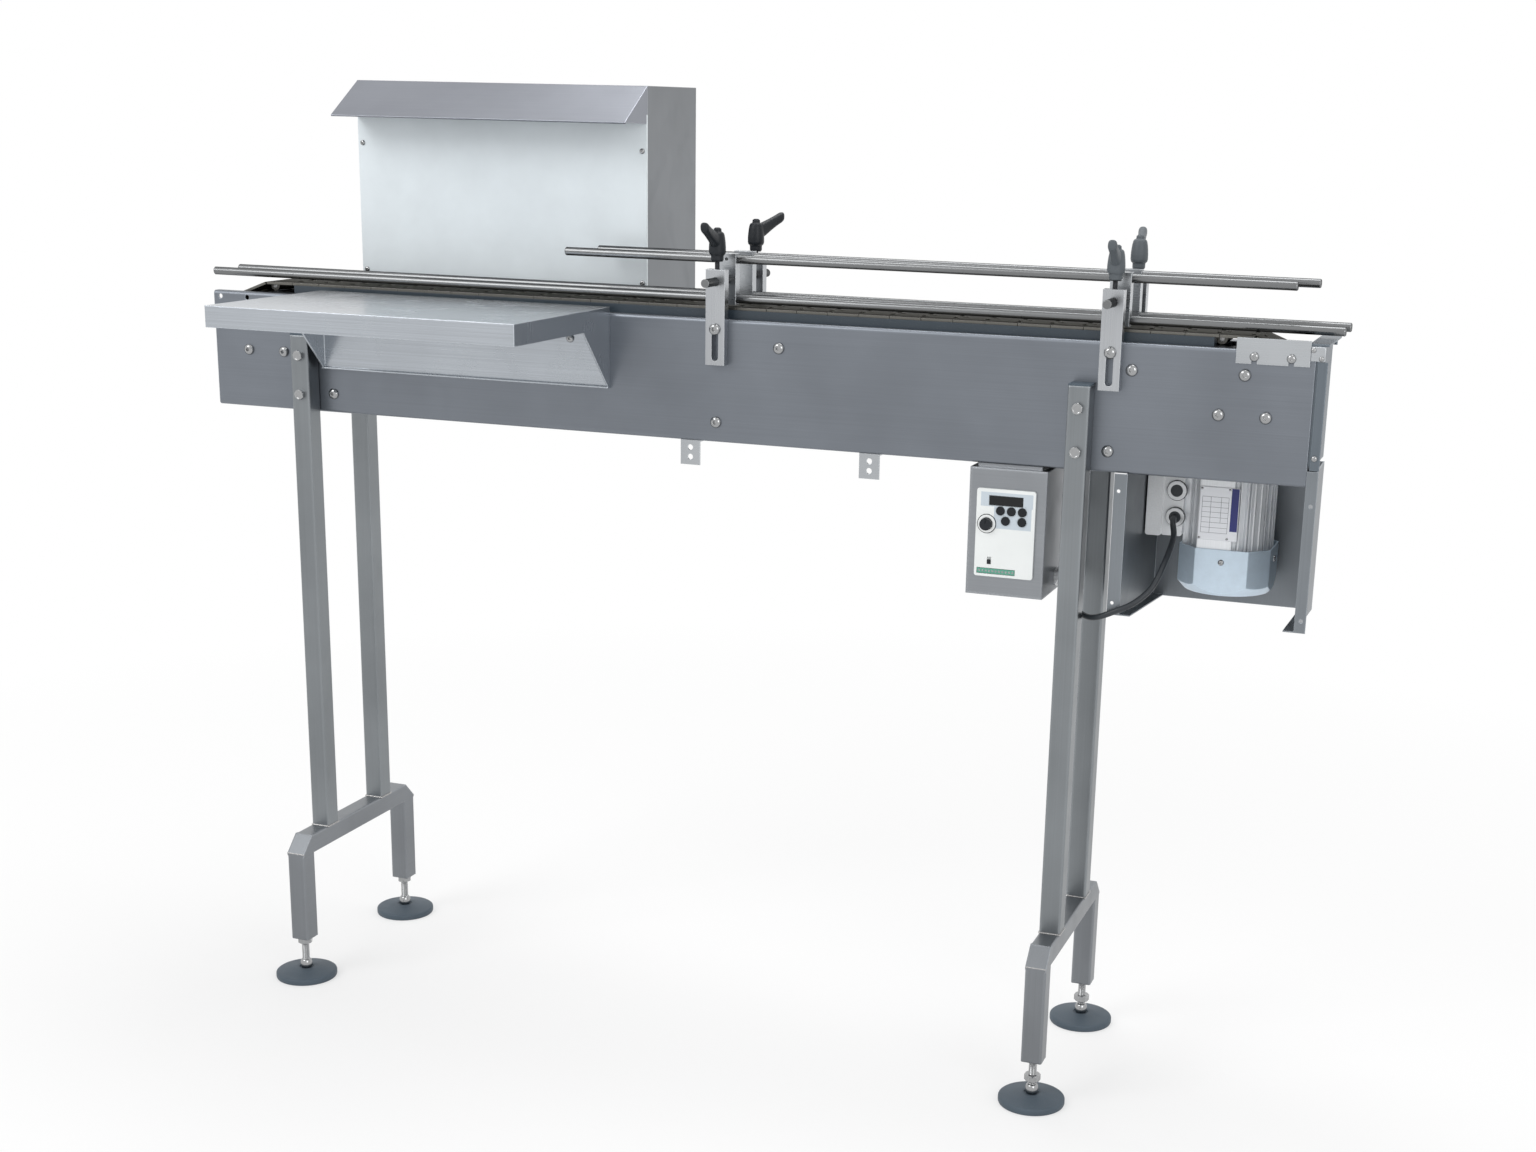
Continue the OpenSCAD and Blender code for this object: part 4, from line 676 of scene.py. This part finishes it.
def addLever(nodeName, x, y, angle, raised, finish):
    base = lever["base"] + lever["rise"] * raised
    body = nodeName + "_body"
    turn = stand(x, y, base, "up", angle)
    # Hub with a narrow neck and a cap, and a flat arm that rises to a rounded end
    handle = Shape()
    handle.lathe(lever["hub"], turn, 48)
    rings = []
    for along, height, halfWide, halfTall in lever["arm"]:
        ring = []
        for k in range(28):
            a = 2 * math.pi * k / 28
            wide, tall = math.cos(a), math.sin(a)
            across = halfWide * math.copysign(abs(wide) ** 0.7, wide)
            up = height + halfTall * math.copysign(abs(tall) ** 0.8, tall)
            ring.append(turn @ (Vector((along, across, up)) / 1000))
        rings.append(ring)
    handle.loft(rings)
    piece = handle.make(nodeName + "Handle", finish, body, "black_plastic", blend=lever["skin"])
    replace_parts(piece, nodeName)

    # Threaded stud down into the post, and the screw in the middle of the hub
    stud, cap = Shape(), Shape()
    upright, top = stand(x, y, 0, "up"), base + lever["top"]
    stud.lathe([(2.4, 947.3), (2.95, 948.0), (2.95, lever["postTop"] + 0.5)], upright, 24)
    threadTube(stud, upright, 2.98, lever["postTop"], base + 0.5, 1.0, 0.4, 16)
    stud.lathe([(2.9, base - 0.9), (6.3, base - 0.9), (6.7, base - 0.5), (6.7, base - 0.05)], upright, 32)
    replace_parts(stud.make(nodeName + "Stud", "blackSteel", body, "bright_steel"), nodeName)
    cap.lathe([(3.2, top - 0.6), (3.2, top + 0.3), (2.8, top + 0.7), (1.7, top + 0.8, "hex"), (1.6, top - 0.3, "hex")],
              upright, 36)
    cap.make(nodeName + "CapScrew", finish, body, "black_plastic")


for pin in lever["pins"]:
    addLever(*pin)
print("feet and levers made")


# Rail blocks

railScrew = {"y": 32.8, "heights": (920.0, 966.0),
             "profile": [(1.95, -2.6), (1.95, 0.02), (3.0, 0.02), (3.0, 0.12), (1.9, 0.16), (1.2, 0.14, "hex"),
                         (1.1, -1.2, "hex")]}


def addRailScrews():
    for side, sign in (("near", -1), ("far", 1)):
        shape = Shape()
        for x in postX:
            for z in railScrew["heights"]:
                shape.lathe(railScrew["profile"], stand(x, sign * railScrew["y"], z, side), 36)
        shape.make(side + "SetScrews", "black", side + "_rail_body", "bright_steel")


addRailScrews()


# Light box

# Screws by height, with the turn of their heads
screenScrew = {"size": 3.4, "x": (160.4, 553.1), "face": 55.0, "rows": ((1084.0, 20), (925.0, 50))}


def addScreenScrews():
    shape = Shape()
    for x in screenScrew["x"]:
        for z, spin in screenScrew["rows"]:
            shape.lathe(crossHead(screenScrew["size"]), stand(x, screenScrew["face"], z, "near", spin), 48)
    shape.make("screenScrews", "bolt", slot="bright_steel")


addScreenScrews()


# Motor

ratingPlate = {"front": 36.9, "left": 1268.0, "right": 1314.0, "bottom": 667.5, "top": 730.0,
               "band": ((1304.6, 679.0), (1313.2, 729.2)), "rule": 0.4, "lines": 8, "lineStep": 6.0,
               "lineX": (1271.0, 1302.0), "formZ": (676.0, 718.4),
               "columns": ((1271.0, 676.0), (1281.0, 676.0), (1293.0, 688.0), (1301.6, 676.0)),
               "rivetX": (1270.2, 1302.4), "rivetZ": (669.8, 727.5)}


def addRatingPlate():
    # Plate on the flat pad at the front of the motor, with a plain band and a blank ruled form
    back, band, rivets, rules = Shape(), Shape(), Shape(), Shape()
    front, thin = ratingPlate["front"], ratingPlate["rule"]
    back.block((ratingPlate["left"], front - 0.8, ratingPlate["bottom"]),
               (ratingPlate["right"], front - 0.05, ratingPlate["top"]))
    (bandLeft, bandLow), (bandRight, bandHigh) = ratingPlate["band"]
    band.block((bandLeft, front - 0.95, bandLow), (bandRight, front - 0.75, bandHigh))
    lineLeft, lineRight = ratingPlate["lineX"]
    formLow, formHigh = ratingPlate["formZ"]
    for k in range(ratingPlate["lines"]):
        z = formLow + ratingPlate["lineStep"] * k
        rules.block((lineLeft, front - 0.92, z), (lineRight, front - 0.75, z + thin))
    for x, low in ratingPlate["columns"]:
        rules.block((x, front - 0.92, low), (x + thin, front - 0.75, formHigh))
    for x in ratingPlate["rivetX"]:
        for z in ratingPlate["rivetZ"]:
            rivets.lathe([(1.4, 0), (1.4, 0.3), (1.0, 0.7), (0.4, 0.9)], stand(x, front - 0.95, z, "near"), 20)
    back.make("ratingPlate", "plateSilver", slot="cast_aluminium", bevel=0.25)
    band.make("ratingBand", "plateBlue", slot="key_plastic")
    rules.make("ratingRules", "plateInk", slot="key_plastic")
    rivets.make("ratingRivets", "bolt", slot="bright_steel")


motorScrew = {"x": 1297.775, "y": 88.5, "z": 642.07, "reach": 53.4, "size": 3.6,
              "sides": ((0, "right"), (90, "far"), (180, "left"), (270, "near")),
              "lidX": 1202.775, "lidY": (60.0, 117.0), "lidZ": (670.0, 732.0), "lidSize": 3.0}


def addMotorScrews():
    shape = Shape()
    for degrees, side in motorScrew["sides"]:
        dx = math.cos(math.radians(degrees)) * motorScrew["reach"]
        dy = math.sin(math.radians(degrees)) * motorScrew["reach"]
        shape.lathe(crossHead(motorScrew["size"]),
                    stand(motorScrew["x"] + dx, motorScrew["y"] + dy, motorScrew["z"], side, 25), 48)
    # Lid of the terminal box
    for y in motorScrew["lidY"]:
        for z in motorScrew["lidZ"]:
            shape.lathe(crossHead(motorScrew["lidSize"]), stand(motorScrew["lidX"], y, z, "left", 15), 48)
    shape.make("motorScrews", "bolt", slot="bright_steel")


# Gland and blank plug of the terminal box, and the gland of the control box
gland = {"x": 1237.775, "face": 55.5, "z": 688.07, "plugZ": 719.07, "boxEnd": (1116.775, 8.0, 613.9),
         "rings": ((688.07, 11.0), (719.07, 11.5))}


def addGlandInserts():
    shape = Shape()
    # Rubber in the two glands
    shape.lathe([(3.6, -1.0), (7.0, -1.0), (7.0, 0.3), (6.4, 0.9), (3.7, 0.9)],
                stand(gland["x"], gland["face"] - 5.0, gland["z"], "near"), 36)
    shape.lathe([(3.6, -1.0), (6.6, -1.0), (6.6, 0.3), (5.8, 0.9), (3.7, 0.9)], stand(*gland["boxEnd"], "right"), 36)
    # Sealing rings behind the gland and the plug, and a thin dark ring on the face of the plug, which is painted shade
    # for a groove round its middle
    for z, r in gland["rings"]:
        shape.lathe([(r - 0.4, 0.0), (r + 0.7, 0.0), (r + 0.7, 1.1), (r - 0.4, 1.1)],
                    stand(gland["x"], gland["face"], z, "near"), 48)
    # Painted shade: a flat dark ring of rubber colour on the plug face, in place of a groove
    shape.lathe([(5.9, 0.0), (7.2, 0.0), (7.2, 0.2), (5.9, 0.2)],
                stand(gland["x"], gland["face"] - 3.0, gland["plugZ"], "near"), 48)
    shape.make("glandInserts", "rubber", slot="cable_rubber")


addRatingPlate()
addMotorScrews()
addGlandInserts()


# End cover

# lugScrews holds the place along x, the height, and the turn of the head
cover = {"screw": (1404.6, -56.5, 784.5), "screwSize": 4.0, "lug": ((1392.3, -57.9, 889.6), (1407.6, -56.5, 905.2)),
         "lugScrews": ((1394.6, 901.5, 25), (1403.6, 892.6, 5)), "lugScrewSize": 3.4}


def addCoverScrews():
    shape, lug = Shape(), Shape()
    shape.lathe(domeHead(cover["screwSize"]), stand(*cover["screw"], "near", 10), 36)
    # Bright lug that holds the transfer plate, with its screws
    lug.block(*cover["lug"])
    lug.make("transferLug", "bright", slot="bright_steel", bevel=0.4)
    for x, z, spin in cover["lugScrews"]:
        shape.lathe(domeHead(cover["lugScrewSize"]), stand(x, cover["lug"][0][1], z, "near", spin), 36)
    shape.make("coverScrews", "bolt", slot="bright_steel")


addCoverScrews()


# Speed controller

# Places on the panel are from its lower left corner
panel = {"x": 1026.775, "y": -58.0, "z": 620.4, "window": ((15.0, 0.35, 84.0), (55.0, 0.95, 95.0)),
         "row": ((3.6, 0.2, 3.6), (48.4, 1.9, 9.4)), "terminals": 11, "terminalX": 6.2, "terminalStep": 4.0,
         "terminalZ": 6.5, "knob": (13.0, 62.0)}


def panelBlock(shape, low, high):
    shape.block(*[(panel["x"] + p[0], panel["y"] + p[1], panel["z"] + p[2]) for p in (low, high)])


def addPanel():
    x, y, z = panel["x"], panel["y"], panel["z"]
    window, green, screws, ring, knobShadow = Shape(), Shape(), Shape(), Shape(), Shape()
    # Display window in its recess
    panelBlock(window, *panel["window"])
    window.make("displayWindow", "display", slot="black_plastic", bevel=0.2)
    # Row of terminals
    panelBlock(green, *panel["row"])
    for k in range(panel["terminals"]):
        across = x + panel["terminalX"] + panel["terminalStep"] * k
        screws.lathe([(1.3, -0.3), (1.3, 0.1), (1.0, 0.25), (0.5, 0.2, "cross"), (0.45, -0.2, "cross")],
                     stand(across, y + 0.2, z + panel["terminalZ"], "near"), 32)
    green.make("terminalRow", "terminalGreen", slot="key_plastic", bevel=0.15)
    screws.make("terminalScrews", "bolt", slot="bright_steel")
    # Pale ring round the knob, with a thin dark ring round it that is a painted shadow
    knob = stand(x + panel["knob"][0], y, z + panel["knob"][1], "near")
    ring.lathe([(7.5, 0.9), (7.5, 1.35), (9.8, 1.35), (10.4, 0.9)], knob, 48)
    ring.make("knobRing", "whitePlastic", slot="controller_plastic")
    # Painted shadow: a flat dark ring round the pale ring, not a real groove
    knobShadow.lathe([(10.45, 0.0), (11.4, 0.0), (11.4, 0.12), (10.45, 0.12)], knob, 48)
    knobShadow.make("knobShadowRing", "key", slot="key_plastic")


addPanel()
print("details made")


# Studio

studio = {"floor": (0.90, 0.90, 0.90), "ambient": 0.70, "floorHalf": 30, "nearShare": (0.55, 1.0), "fade": (0.7, 2.2),
          "lamps": [("keyLamp", (-2.2, -3.0, 3.4), (0.0, 0.0, 0.7), (2.2, 2.2), 58.0),
                    ("fillLamp", (2.8, -2.6, 1.8), (0.1, 0.0, 0.7), (1.8, 1.8), 24.0),
                    ("topLamp", (0.2, 0.6, 3.4), (0.0, 0.0, 0.8), (2.6, 1.2), 36.0)]}


def seenRays(tree):
    # 1 for what the camera, a reflection or glass sees directly
    path = put(tree, "ShaderNodeLightPath").outputs
    mirrored = calc(tree, "MAXIMUM", path["Is Glossy Ray"], path["Is Transmission Ray"])
    return calc(tree, "MAXIMUM", path["Is Camera Ray"], mirrored)


def addStudio():
    scene = bpy.context.scene
    scene.view_settings.view_transform = "Standard"
    world = bpy.data.worlds.new("studioWorld")
    world.use_nodes = True
    scene.world = world
    tree = world.node_tree
    tree.nodes.clear()
    strength = spread(tree, seenRays(tree), studio["ambient"], 1.0)
    light = put(tree, "ShaderNodeBackground", {}, Color=(1, 1, 1, 1), Strength=strength)
    out = tree.nodes.new("ShaderNodeOutputWorld")
    tree.links.new(light.outputs[0], out.inputs[0])

    for name, place, target, size, power in studio["lamps"]:
        data = bpy.data.lights.new(name, "AREA")
        data.shape, data.size, data.size_y, data.energy = "RECTANGLE", size[0], size[1], power
        lamp = bpy.data.objects.new(name, data)
        lamp.location = place
        lamp.rotation_euler = (Vector(target) - Vector(place)).to_track_quat("-Z", "Y").to_euler()
        scene.collection.objects.link(lamp)

    shape = bpy.data.meshes.new("floor")
    half = studio["floorHalf"]
    shape.from_pydata([(-half, -half, 0), (half, -half, 0), (half, half, 0), (-half, half, 0)], [], [(0, 1, 2, 3)])
    floor = bpy.data.objects.new("floor", shape)
    scene.collection.objects.link(floor)
    material = bpy.data.materials.new("floorWhite")
    material.use_nodes = True
    tree = material.node_tree
    tree.nodes.clear()
    plain = put(tree, "ShaderNodeBsdfDiffuse", {}, Color=(*studio["floor"], 1))
    glow = put(tree, "ShaderNodeEmission", {}, Color=(1, 1, 1, 1), Strength=1.0)
    # Far from the object the floor runs into the white background
    place = put(tree, "ShaderNodeTexCoord").outputs["Object"]
    away = put(tree, "ShaderNodeVectorMath", {"operation": "LENGTH"}, i0=place).outputs["Value"]
    fade = spread(tree, away, *studio["nearShare"], *studio["fade"])
    share = calc(tree, "MULTIPLY", fade, seenRays(tree), True)
    mix = put(tree, "ShaderNodeMixShader", {}, i0=share, i1=plain.outputs[0], i2=glow.outputs[0])
    out = tree.nodes.new("ShaderNodeOutputMaterial")
    tree.links.new(mix.outputs[0], out.inputs[0])
    shape.materials.append(material)


addStudio()
print("studio set")
